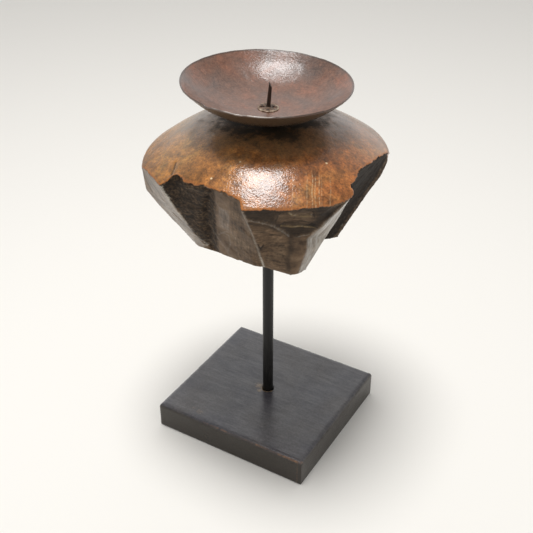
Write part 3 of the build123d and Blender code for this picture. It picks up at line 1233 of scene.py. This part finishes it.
    def _chipped(self, skin: Skin, points: Array, whole: Array) -> Array:
        """Break the dome's border.

        Args:
            skin: What is known of the vertices.
            points: Carved positions.
            whole: 1 away from the splits.

        Returns:
            The new positions.
        """
        at, signed = skin.at, skin.signed
        chip = np.clip(self.chip_noise.at(points) + self.chip_bias, 0.0, 1.0) * self._raggedness(at.bearing)
        falloff = bell(signed, self.chip_half) * step(at.reach, *self.chip_from)
        radial = skin.local * FLAT @ skin.axes / np.maximum(at.reach, MM)[:, None]
        uphill = self.chip_way[0] * radial + self.chip_way[1] * skin.axes[2]
        points = points + uphill * (self.chip_reach * chip * falloff)[:, None]
        settle = step(signed, *self.settle_from)
        for middle, push, size in self.bites:
            gap = np.linalg.norm(points - np.array(middle) * MM, axis=1) / (size * MM)
            give = bell(gap, 1.0) * (1.0 - self.bite_keep * step(signed, *self.bite_fade))
            points = points + give[:, None] * np.array(push) * MM
            settle = np.maximum(settle, bell(gap, self.bite_spread) * step(signed, *self.bite_settle))
        smooth = neighbour_mean(points, skin.edges, 2)
        return points + (smooth - points) * (settle * whole)[:, None]

    def _raggedness(self, bearing: Array) -> Array:
        """Return how ragged the dome's border is at each bearing."""
        shares = [strength * bell(turned(bearing - middle), half, 4) for middle, half, strength in self.ragged]
        return np.maximum(np.maximum.reduce(shares), self.plain_ragged)

    def _rolled(self, at: Around) -> Array:
        """Return where the dome's lacquer rolls over the right tooth's rim.

        Args:
            at: Where the vertices lie.

        Returns:
            Values from 0 to 1.
        """
        past, height = at.past(self.right_edge), at.height / MM
        start, level = self.roll_start
        rolled = step(past - start + self.roll_lean * (height - level), -self.roll_soft, self.roll_soft)
        foot = height - self.roll_climb * np.maximum(past - self.roll_level, 0.0)
        return rolled * step(past, *self.roll_left) * step(foot, *self.roll_foot)

    def _pale_edges(self, skin: Skin, tone: Array) -> Array:
        """Return how pale the outer edges are: wear, with a painted highlight along the arrises.

        Args:
            skin: What is known of the vertices.
            tone: Dark and pale faces.

        Returns:
            Values from 0 to 1.
        """
        at = skin.at
        proud = arris_of(skin.mesh, 3) / self.proud_full
        on_line = np.maximum.reduce([
            bell(np.radians(at.past(line)) * at.reach, self.arris_half) * share
            for line, share in ((self.left_arris, 1.0), (self.right_edge, self.right_pale))
        ])
        edge, faint = (proud * gain + bias for gain, bias in (self.proud_pale, self.proud_faint))
        faint = np.clip(faint, 0.0, self.faint_most) * step(tone, *self.faint_from)
        # Thin pale line down the front arris: wear with a painted highlight
        thin = bell(np.radians(at.past(self.front_arris)) * at.reach, self.front_half)
        thin *= self.front_pale - self.front_less * step(at.height, *self.front_fade)
        cut_edge = self.cut_edge_pale * at.near(self.cut_edges, self.cut_edge_half)
        return np.maximum.reduce([np.clip(edge, 0.0, 1.0) * on_line, faint, thin, cut_edge])

    def _tone(self, at: Around) -> Array:
        """Return each vertex's tone: painted shade in the notches, rub with painted sheen on the outer faces.

        Args:
            at: Where the vertices lie.

        Returns:
            Values from -1 to 1.
        """
        bearing, height = at.bearing, at.height / MM
        lines = (
            self.left_back, self.left_arris, self.valley_edge, self.front_arris, self.narrow_left, self.narrow_right,
            self.right_arris, self.right_edge,
        )
        left_back, left_arris, valley_edge, front_arris, narrow_left, narrow_right, right_arris, right_edge = (
            self._passed(at, line) for line in lines
        )
        left = self.left_tone + self.left_rub_and_sheen * step(at.past(self.left_arris), *self.left_rub_and_sheen_from)
        tone = left * left_back * (1.0 - left_arris)
        tone -= self.valley_dark * left_arris * (1.0 - valley_edge)
        start, stop = (np.interp(height, *np.array(line, float).T) for line in (self.valley_edge, self.facet_step))
        share = (bearing - start) / (stop - start)
        soft_across, soft_down = self.patch_soft
        for first, last, low, high, gain in self.patches:
            tone += gain * window(share, first, last, soft_across) * window(height, low, high, soft_down)
        front = front_arris * (1.0 - narrow_left)
        tone += self.front_tone * front
        foot = step(bearing, *self.front_foot_from) * (1.0 - step(height, *self.front_foot_top))
        tone += self.front_foot_tone * front * foot
        tone += narrow_left * (1.0 - narrow_right)
        wrap = np.where(bearing > 180.0, bearing - 360.0, bearing)
        tone -= self.notch_dark * narrow_right * (wrap < 0.0)
        notch_end, tooth_end = self.right_ends
        tone -= self.notch_dark * (1.0 - right_arris) * ((wrap >= 0.0) & (wrap < notch_end))
        tone -= (self.notch_dark - self.right_lift * right_edge) * right_arris * ((wrap > 0.0) & (wrap < tooth_end))
        for middle in self.back_notches:
            tone -= self.back_dark * bell(bearing - middle, self.back_half, 4)
        return np.clip(tone, -1.0, 1.0)

    def _grain(self, at: Around) -> Array:
        """Lay the grain along each hewn face, and across the front one.

        Args:
            at: Where the vertices lie.

        Returns:
            Distance across the grain, distance along it and a shift for each face.
        """
        lines = (
            self.left_back, self.left_arris, self.valley_edge, self.front_arris, self.narrow_left, self.narrow_right
        )
        across, face = np.radians(at.bearing) * at.reach, np.zeros(len(at.reach))
        for number, line in enumerate(lines, 1):
            off = at.past(line)
            past = (off > 0.0) & (off < self.grain_reach_deg)
            across = np.where(past, np.radians(off) * at.reach, across)
            face = np.where(past, number, face)
        front = face == 1 + lines.index(self.front_arris)
        sides = (np.where(front, at.height, across), np.where(front, across, at.height))
        return np.stack([*sides, self.grain_shift * face], 1)

    def _cuts(self, at: Around) -> Array:
        """Lay flat tool cuts over the hewn faces.

        Args:
            at: Where the vertices lie.

        Returns:
            Depth of the cuts.
        """
        draw = np.random.default_rng(SEED)
        across = int(round(2 * math.pi * self.cut_girth / self.cut_wide))
        rows = int(math.ceil(self.cut_rise / self.cut_tall)) + 1
        aside, above = self.cut_jitter
        seeds = np.array([
            (
                (i + draw.uniform(-aside, aside) + 0.5 * (j % 2)) % across,
                j + draw.uniform(-above, above),
                *draw.uniform(-1.0, 1.0, 3),
            )
            for j in range(rows)
            for i in range(across)
        ])
        targets = [(seed[0] + turn * across, seed[1], 0.0) for turn in (-1, 0, 1) for seed in seeds]
        u, v = at.bearing / 360.0 * across, at.height / self.cut_tall
        numbers, _ = nearest(targets, [(a, b, 0.0) for a, b in zip(u, v)])
        near = seeds[numbers % len(seeds)]
        du = ((u - near[:, 0] + across / 2) % across - across / 2) * self.cut_wide
        dv = (v - near[:, 1]) * self.cut_tall
        slope = self.cut_slope * (near[:, 3] * du + self.cut_lean * near[:, 4] * dv)
        return np.clip(self.cut_depth * (1.0 + self.cut_vary * near[:, 2]) + slope, 0.0, self.cut_most)

    def _front_pockets(self, at: Around) -> Array:
        """Undercut the dome's edge on the front tooth.

        Args:
            at: Where the vertices lie.

        Returns:
            Depth of the undercut.
        """
        bearing, height = at.bearing, at.height / MM
        inside = step(bearing, *self.ridge_from) * (1.0 - step(at.past(self.narrow_left), *self.ridge_end))
        over = height - np.interp(bearing, *np.array(self.ridge_line).T)
        depth = self.ridge_depth * step(over, 0.0, self.ridge_rise) * inside
        for lip in self.pocket_lips:
            over = height - np.interp(bearing, *np.array(lip).T)
            within = window(bearing, lip[0][0] + self.pocket_end, lip[-1][0] - self.pocket_end, self.pocket_end)
            depth += self.pocket_depth * step(over, *self.pocket_lip) * (1.0 - step(over, *self.pocket_top)) * within
        return depth


@dataclass
class DripDish:
    """The raised iron dish: spun profile, beaten wall and an uneven lip."""

    floor_z: float = 256.6 * MM
    lean_deg: float = 2.3
    centre: Place = (-1.3 * MM, -0.8 * MM, 0.0)
    radius: float = 55.3 * MM
    depth: float = 19.15 * MM
    floor_radius: float = 9.5 * MM
    sheet: float = 1.3 * MM
    steps: int = 216
    wall_points: int = 26
    wall_from: Span = (12.35 * MM, 27.65 * MM)
    # Shares of the radius from which the wall is plain, the lip waves and it is drawn in
    lip_shares: Place = (0.85, 0.78, 0.8)
    beat_noise: Ripple = Ripple(11 * MM, 2)
    beat_depth: float = 0.22 * MM
    wave_noise: Ripple = Ripple(24 * MM, 3, 5.1)
    lip_wave: float = 0.55 * MM
    nick_noise: Ripple = Ripple(7 * MM, 2, 9.3)
    nick_depth: float = 1.2 * MM
    nick_bias: float = 0.05
    nick_least: float = 0.2
    nick_from: float = 1.4 * MM
    front_turn: float = 0.25
    front_from: Span = (12 * MM, 40 * MM)
    outside_from: Span = (0.05, 0.35)
    lip_up: Span = (-0.2, 0.2)
    lip_in: float = 0.004
    lip_from: Span = (0.9 * MM, 0.3 * MM)
    lip_share: float = 0.8
    bright_lip_noise: Ripple = Ripple(9 * MM, 3, 2.9)
    bright_lip_from: Span = (-0.7, 0.2)
    bright_lip_bearing: float = 288.0
    bright_lip_half: float = 22.0

    # Section of the wall: share of the run and of the rise
    wall_shares = ((0.0, 0.0), (0.45, 0.135), (0.66, 0.36), (0.84, 0.645), (1.0, 1.0))
    # Last points inside, close to the lip, and the rounded lip in half sheets out and down
    lip_points = (0.975, 0.99, 1.0)
    nose = ((0.35, 0.35), (0.45, 1.0), (0.2, 1.7))

    def build(self, finish: DishPatina) -> Piece:
        """Model the dish.

        Args:
            finish: The dish's patina.

        Returns:
            The finished piece.
        """
        lean = Matrix.Rotation(math.radians(self.lean_deg), 3, "Y")
        across, normal = (lean @ Vector(way) for way in ((1.0, 0.0, 0.0), (0.0, 0.0, 1.0)))
        origin = Vector((0.0, 0.0, self.floor_z)) + lean @ Vector(self.centre)
        dish = primitive("beaten_dish", "plane", size=self.sheet)
        open_mesh(dish)
        bpy.ops.mesh.merge(type="CENTER")
        path = [origin + across * r + normal * h for r, h in self._profile()]
        bpy.ops.transform.translate(value=path[0])
        for last, target in zip(path, path[1:]):
            bpy.ops.mesh.extrude_region_move(TRANSFORM_OT_translate={"value": target - last})
        bpy.ops.mesh.select_all(action="SELECT")
        bpy.ops.mesh.spin(steps=self.steps, angle=2 * math.pi, center=origin, axis=normal)
        bpy.ops.mesh.select_all(action="SELECT")
        bpy.ops.mesh.remove_doubles(threshold=MERGE_GAP)
        bpy.ops.mesh.normals_make_consistent(inside=False)
        bpy.ops.object.mode_set(mode="OBJECT")
        self._beat(dish.data, np.array([across, normal.cross(across), normal]), np.array(origin))
        finish_piece(dish, finish, ["drip_dish"])
        return dish

    def _beat(self, mesh: Mesh, axes: Array, origin: Array) -> None:
        """Beat the wall, wave and nick the lip, and mark the outside, the lip, and its front stretch, worn with a
        painted highlight.

        Args:
            mesh: The spun dish.
            axes: The dish's own axes, one row each.
            origin: Middle of its floor.
        """
        local = (vectors_of(mesh) - origin) @ axes.T
        reach = np.hypot(local[:, 0], local[:, 1])
        bearing = np.arctan2(local[:, 1], local[:, 0])
        round_trip = np.stack([np.cos(bearing), np.sin(bearing), np.zeros(len(reach))], 1) * self.radius
        plain, waved, drawn_in = (step(reach, self.radius * share, self.radius) for share in self.lip_shares)
        wall = step(reach, *self.wall_from)
        beat = self.beat_noise.at(local * FLAT) * self.beat_depth * wall * (1.0 - plain)
        wave = (self.wave_noise.at(round_trip) - 1.0) * 0.5 * self.lip_wave * waved
        front = step(-local[:, 1] + self.front_turn * local[:, 0], *self.front_from)
        nick = np.clip(self.nick_noise.at(round_trip) - self.nick_bias, 0.0, 1.0) * self.nick_depth
        nick *= step(reach, self.radius - self.nick_from, self.radius)
        nick *= self.nick_least + (1.0 - self.nick_least) * front
        local[:, 2] += beat + wave - nick
        local[:, :2] *= (1.0 - self.lip_in * drawn_in)[:, None]
        set_points(mesh, local @ axes + origin)

        up = (vectors_of(mesh, "normal") @ axes.T)[:, 2]
        lip = step(reach, *(self.radius - gap for gap in self.lip_from)) * step(up, *self.lip_up)
        # Bright stretch of lip at the front: wear with a painted highlight
        bright = bell(turned(np.degrees(bearing) - self.bright_lip_bearing), self.bright_lip_half, 4)
        bright *= step(self.bright_lip_noise.at(round_trip), *self.bright_lip_from)
        set_attributes(
            mesh,
            outside=step(-up, *self.outside_from),
            lip=lip * (1.0 - bright) * self.lip_share,
            rubbed=lip * bright * self.lip_share,
        )

    def _profile(self) -> list[tuple[float, float]]:
        """Draw the section, from the axis out along the inside and back below.

        Returns:
            Reach and height of each point.
        """
        first, *close = self.lip_points
        share = np.append(np.linspace(0.0, first, self.wall_points - len(close)), close)
        run = self.radius - self.floor_radius
        inside = [(0.0, 0.0), (self.floor_radius * 0.5, 0.0)]
        inside += [(self.floor_radius + run * s, self.depth * f) for s, f in zip(share, self._smooth(share))]
        half = self.sheet * 0.5
        out_r, out_h = inside[-1]
        nose = [(out_r + half * out, out_h - half * down) for out, down in self.nose]
        below = [(r, h - self.sheet) for r, h in reversed(inside)]
        return inside + nose + below

    def _smooth(self, share: Array) -> Array:
        """Return a smooth curve through the wall's points.

        Args:
            share: Shares of the run where the curve is wanted.

        Returns:
            Shares of the rise.
        """
        t, rise = np.array(self.wall_shares).T
        slope = np.gradient(rise, t)
        slope[0] = 0.0
        k = np.clip(np.searchsorted(t, share, side="right") - 1, 0, len(t) - 2)
        width = t[k + 1] - t[k]
        s = (share - t[k]) / width
        return (
            (1 + 2 * s) * (1 - s) ** 2 * rise[k]
            + s * (1 - s) ** 2 * width * slope[k]
            + s * s * (3 - 2 * s) * rise[k + 1]
            + s * s * (s - 1) * width * slope[k + 1]
        )


@dataclass
class Pricket:
    """The spike and the brazed weld at its foot."""

    weld_voxel: float = 0.28 * MM
    lump_noise: Ripple = Ripple(2.4 * MM, 3)
    lump_depth: float = 0.30 * MM
    lump_bias: float = 0.35
    lump_most: float = 0.05 * MM
    lump_from: Span = (0.3 * MM, 1.2 * MM)
    lump_up: Span = (0.0, 0.5)
    pit_rounds: int = 12
    pit_full: float = 0.10 * MM
    floor_z: float = 256.6 * MM
    foot_radius: float = 1.7 * MM
    foot_height: float = 2.2 * MM
    shank_radius: float = 1.3 * MM
    shank_sides: int = 32
    neck_radius: float = 1.05 * MM
    neck_from: float = 0.3
    length: float = 17.4 * MM
    rings: int = 36
    end_gap: float = 0.4 * MM
    slant_deg: float = 58.0
    slant_bearing_deg: float = 20.0
    dent_noise: Ripple = Ripple(2.6 * MM, 2, 6.1)
    dent_share: float = 0.05
    tilt_deg: Span = (-2.5, 4.3)
    sharp_deg: float = 40.0

    def build(self, crust: WeldCrust, steel: IronPaint) -> None:
        """Model the weld and the spike.

        Args:
            crust: The weld's finish.
            steel: The spike's finish.
        """
        self._weld(crust)
        self._spike(steel)

    def _spike(self, steel: IronPaint) -> None:
        """Forge the spike: a thickened foot, a hammered shank and a slanting cut point.

        Args:
            steel: The spike's finish.
        """
        sizes = {"vertices": self.shank_sides, "radius": self.shank_radius, "depth": self.length}
        spike = primitive("forged_spike", "cylinder", **sizes)
        open_mesh(spike)
        bpy.ops.transform.translate(value=(0.0, 0.0, self.length / 2))
        for level in np.linspace(self.end_gap, self.length - self.end_gap, self.rings):
            bpy.ops.mesh.select_all(action="SELECT")
            bpy.ops.mesh.bisect(plane_co=(0.0, 0.0, level), plane_no=(0.0, 0.0, 1.0))
        lean, aside = math.radians(self.slant_deg), math.radians(self.slant_bearing_deg)
        cut = (math.sin(lean) * math.cos(aside), math.sin(lean) * math.sin(aside), math.cos(lean))
        top = self.length - self.neck_radius * math.tan(lean)
        bpy.ops.mesh.select_all(action="SELECT")
        bpy.ops.mesh.bisect(plane_co=(0.0, 0.0, top), plane_no=cut, use_fill=True, clear_outer=True)
        bpy.ops.object.mode_set(mode="OBJECT")

        points = vectors_of(spike.data)
        rise = points[:, 2]
        swell = 1.0 + (self.foot_radius / self.shank_radius - 1.0) * (1.0 - step(rise, 0.0, self.foot_height))
        to_neck = step(rise, self.length * self.neck_from, self.length)
        slim = 1.0 - (1.0 - self.neck_radius / self.shank_radius) * to_neck
        dents = 1.0 - self.dent_share * np.clip(self.dent_noise.at(points), 0.0, 1.0)
        points[:, :2] *= (swell * slim * dents)[:, None]
        set_points(spike.data, points @ np.array(tilted(*self.tilt_deg)).T + np.array([0.0, 0.0, self.floor_z]))
        finish_piece(spike, steel, ["pricket_spike"], self.sharp_deg)

    def _weld(self, crust: WeldCrust) -> None:
        """Model the lumpy weld.

        Args:
            crust: The weld's finish.
        """
        weld = merged_copy("spike_weld", "weld_crust")
        apply_modifier(weld, "REMESH", mode="VOXEL", voxel_size=self.weld_voxel)
        points = vectors_of(weld.data)
        reach = np.hypot(points[:, 0], points[:, 1])
        top = step(vectors_of(weld.data, "normal")[:, 2], *self.lump_up)
        free = step(reach, *(self.foot_radius + gap for gap in self.lump_from))
        lump = (self.lump_noise.at(points) - self.lump_bias) * self.lump_depth * top * free
        points[:, 2] += np.minimum(lump, self.lump_most)
        set_points(weld.data, points)
        # The pit mark finds the weld's hollows, which take painted shade
        set_attributes(weld.data, pit=np.clip(-arris_of(weld.data, self.pit_rounds) / self.pit_full, 0.0, 1.0))
        finish_piece(weld, crust, ["spike_weld"])


@dataclass
class BaseBlock:
    """The square block: planed faces, rubbed edges, chips and a painted highlight ring round the rod's hole."""

    size: Place = (125 * MM, 118 * MM, 21.5 * MM)
    corner: float = 7.5 * MM
    top_edge: float = 3.2 * MM
    foot_edge: float = 2.0 * MM
    socket_radius: float = 4.15 * MM
    socket_depth: float = 12 * MM
    socket_sides: int = 64
    voxel: float = 0.80 * MM
    dent_noise: Ripple = Ripple(16 * MM, 4, 1.3)
    dent_depth: float = 0.30 * MM
    plane_noise: Ripple = Ripple(9 * MM, 2, 4.4)
    plane_stretch: Place = (0.35, 1.0, 1.0)
    plane_depth: float = 0.10 * MM
    brim_half: float = 0.65 * MM
    post_half: float = 1.1 * MM
    hole_clear: Span = (0.6 * MM, 2.4 * MM)
    foot_clear: Span = (0.0, 1.5 * MM)
    front_from: Span = (5 * MM, 2 * MM)
    near_from: Span = (12 * MM, 6 * MM)
    ring_gap: float = 0.8 * MM
    ring_half: float = 0.9 * MM
    ring_highlight: float = 1.4
    ring_from: Span = (-1 * MM, 3 * MM)
    top_from: Span = (1.5 * MM, 0.6 * MM)
    brim_least: float = 0.35
    post_worn: Span = (0.3, 0.35)
    side_from: Span = (0.25, 0.75)

    # Bare chips on the top: place and reach, strength
    chips = (
        (-7.5 * MM, -1.0 * MM, 5.5 * MM, 1.0),
        (-4.0 * MM, -6.5 * MM, 3.5 * MM, 1.0),
        (-30.0 * MM, -50.5 * MM, 6.0 * MM, 0.75),
        (-37.0 * MM, -49.5 * MM, 5.0 * MM, 0.65),
    )

    def build(self, finish: StainedBlock) -> Piece:
        """Model the block.

        Args:
            finish: The block's stained wood.

        Returns:
            The finished piece.
        """
        top = self.size[2]
        block = primitive("planed_block", "cube", size=1.0)
        open_mesh(block)
        bpy.ops.transform.resize(value=self.size)
        bpy.ops.transform.translate(value=(0.0, 0.0, top / 2))
        self._bevel(block, lambda a, b: abs(a.z - b.z) > top / 2, self.corner, 5)
        self._bevel(block, lambda a, b: min(a.z, b.z) > top - MERGE_GAP, self.top_edge, 4)
        self._bevel(block, lambda a, b: max(a.z, b.z) < MERGE_GAP, self.foot_edge, 2)
        bpy.ops.object.mode_set(mode="OBJECT")
        sizes = {"vertices": self.socket_sides, "radius": self.socket_radius, "depth": 2 * self.socket_depth}
        cutter = primitive("socket_cutter", "cylinder", location=(0.0, 0.0, top), **sizes)
        apply_modifier(block, "BOOLEAN", operation="DIFFERENCE", object=cutter)
        bpy.data.objects.remove(cutter)
        apply_modifier(block, "REMESH", mode="VOXEL", voxel_size=self.voxel)
        self._wear(block.data)
        finish_piece(block, finish, ["base_block"])
        return block

    def _wear(self, mesh: Mesh) -> None:
        """Dent the edges, wave the planed faces, mark what is worn and bare, and paint a highlight ring by the rod's
        hole.

        Args:
            mesh: The block's mesh.
        """
        points, normals = vectors_of(mesh), neighbour_mean(vectors_of(mesh, "normal"), edges_of(mesh), 2)
        x, y, z = points.T
        half, top = np.array(self.size) / 2, self.size[2]
        gap = half - np.abs(points - np.array([0.0, 0.0, half[2]]))
        inset = math.sqrt(2.0) - 1.0
        brim = bell(np.hypot(top - z, gap[:, :2].min(1)) - inset * self.top_edge, self.brim_half)
        post = bell(np.hypot(gap[:, 0], gap[:, 1]) - inset * self.corner, self.post_half)
        rubbed = np.maximum(brim, post)
        dents = np.clip(self.dent_noise.at(points), 0.0, 1.0)
        waves = 0.5 + 0.5 * self.plane_noise.at(points * np.array(self.plane_stretch))
        depth = self.dent_depth * dents * rubbed + self.plane_depth * waves * (1.0 - rubbed)
        hole = np.hypot(x, y) - self.socket_radius
        depth *= step(hole, *self.hole_clear) * step(z, *self.foot_clear)
        set_points(mesh, points - normals * depth[:, None])

        # Painted highlight: a pale ring just outside the rod's hole, on its front side
        bare = self.ring_highlight * bell(hole - self.ring_gap, self.ring_half) * step(-y, *self.ring_from)
        for chip_x, chip_y, reach, strength in self.chips:
            bare = np.maximum(bare, strength * bell(np.hypot(x - chip_x, y - chip_y), reach))
        front = step(-y, *(half[1] - gap for gap in self.front_from))
        toward = 0.50 + 0.50 * step(x, -half[0], half[0])
        near_post = step(x - y, *(half[0] + half[1] - gap for gap in self.near_from))
        post_wear = self.post_worn[0] + self.post_worn[1] * near_post
        set_attributes(
            mesh,
            bare=bare * step(z, *(top - gap for gap in self.top_from)),
            edge_wear=np.maximum(brim * np.maximum(front * toward, self.brim_least), post * post_wear),
            side=1.0 - step(np.abs(normals[:, 2]), *self.side_from),
        )

    def _bevel(self, block: Piece, wanted: Callable[[Vector, Vector], bool], offset: float, segments: int) -> None:
        """Round the edges whose two ends pass a test.

        Args:
            block: Block in edit mode.
            wanted: Test of an edge's two end points.
            offset: Width of the rounding.
            segments: Faces across it.
        """
        bpy.ops.mesh.select_all(action="DESELECT")
        live = bmesh.from_edit_mesh(block.data)
        for edge in live.edges:
            edge.select_set(wanted(edge.verts[0].co, edge.verts[1].co))
        bmesh.update_edit_mesh(block.data)
        bpy.ops.mesh.bevel(offset=offset, segments=segments, profile=0.5)


def dress_nodes(nodes: Iterable[str], finish: IronPaint) -> None:
    """Give CAD nodes that stay in view their finish.

    Args:
        nodes: Names of the nodes.
        finish: Their finish.
    """
    material = finish.make()
    for name in nodes:
        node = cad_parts[name]
        node.data.materials.clear()
        node.data.materials.append(material)
        LOG.info("%s: %s", name, material.name)


# Studio


@dataclass
class Studio:
    """Camera, soft light and pale floor."""

    eye: Place = (275.0 * MM, -462.9 * MM, 482.7 * MM)
    aim: Place = (-0.99 * MM, -0.59 * MM, 134.9 * MM)
    lens: float = 60.22
    sensor: float = 36.0
    nearest: float = 0.01
    lamp_place: Place = (-0.08, -0.05, 1.35)
    lamp_aim: Place = (0.0, 0.0, 0.22)
    lamp_size: float = 0.48
    lamp_watts: float = 12.0
    fill_strength: float = 0.45
    back_strength: float = 1.0
    back: Place = (-0.5108, 0.8597, 0.0)
    back_from: Span = (0.25, 0.85)
    floor_half: float = 6.0

    def build(self, paint: FloorPaint) -> None:
        """Set up the view, the light and the floor.

        Args:
            paint: The floor's finish.
        """
        scene = bpy.context.scene
        camera = self._aimed(bpy.data.cameras.new("camera"), self.eye, self.aim)
        camera.data.lens = self.lens
        camera.data.sensor_width = self.sensor
        camera.data.clip_start = self.nearest
        scene.camera = camera
        lamp = self._aimed(bpy.data.lights.new("softbox", "AREA"), self.lamp_place, self.lamp_aim)
        lamp.data.shape = "DISK"
        lamp.data.size = self.lamp_size
        lamp.data.energy = self.lamp_watts
        floor = primitive("floor", "plane", size=2 * self.floor_half)
        floor.data.materials.append(paint.make())

        world = bpy.data.worlds.new("studio")
        scene.world = world
        world.use_nodes = True
        put = partial(add, world.node_tree)
        behind = put("VectorMath", (put("TexCoord", out="Generated"), self.back), **DOT)
        ends = (*self.back_from, self.fill_strength, self.back_strength)
        strength = put("MapRange", (behind, *ends), interpolation_type="SMOOTHSTEP")
        feed(world.node_tree.nodes["Background"], {"Color": (1.0, 1.0, 1.0, 1.0), "Strength": strength})
        scene.view_settings.view_transform = "Standard"

    def _aimed(self, data: bpy.types.ID, place: Place, target: Place) -> Piece:
        """Add a camera or lamp that looks from a place to a target.

        Args:
            data: The camera or lamp.
            place: Where it stands.
            target: Where it looks.

        Returns:
            The new object, named like its data.
        """
        thing = bpy.data.objects.new(data.name, data)
        bpy.context.scene.collection.objects.link(thing)
        thing.location = place
        thing.rotation_euler = (Vector(target) - Vector(place)).to_track_quat("-Z", "Y").to_euler()
        return thing


def main() -> None:
    """Build the studio, then the stand, and note the sizes."""
    logging.basicConfig(level=logging.INFO, format="%(name)s %(message)s")
    Studio().build(FloorPaint())
    BaseBlock().build(StainedBlock())
    dress_nodes(["support_rod", "seat_collar", "seat_weld", "dish_weld"], IronPaint())
    HewnHub().build(HubWood())
    DripDish().build(DishPatina())
    steel = IronPaint(name="forged_spike_iron", black="#2c221c", rubbed="#4a3a30", roughness=(0.30, 0.46))
    Pricket().build(WeldCrust(), steel)


if __name__ == "__main__":
    main()
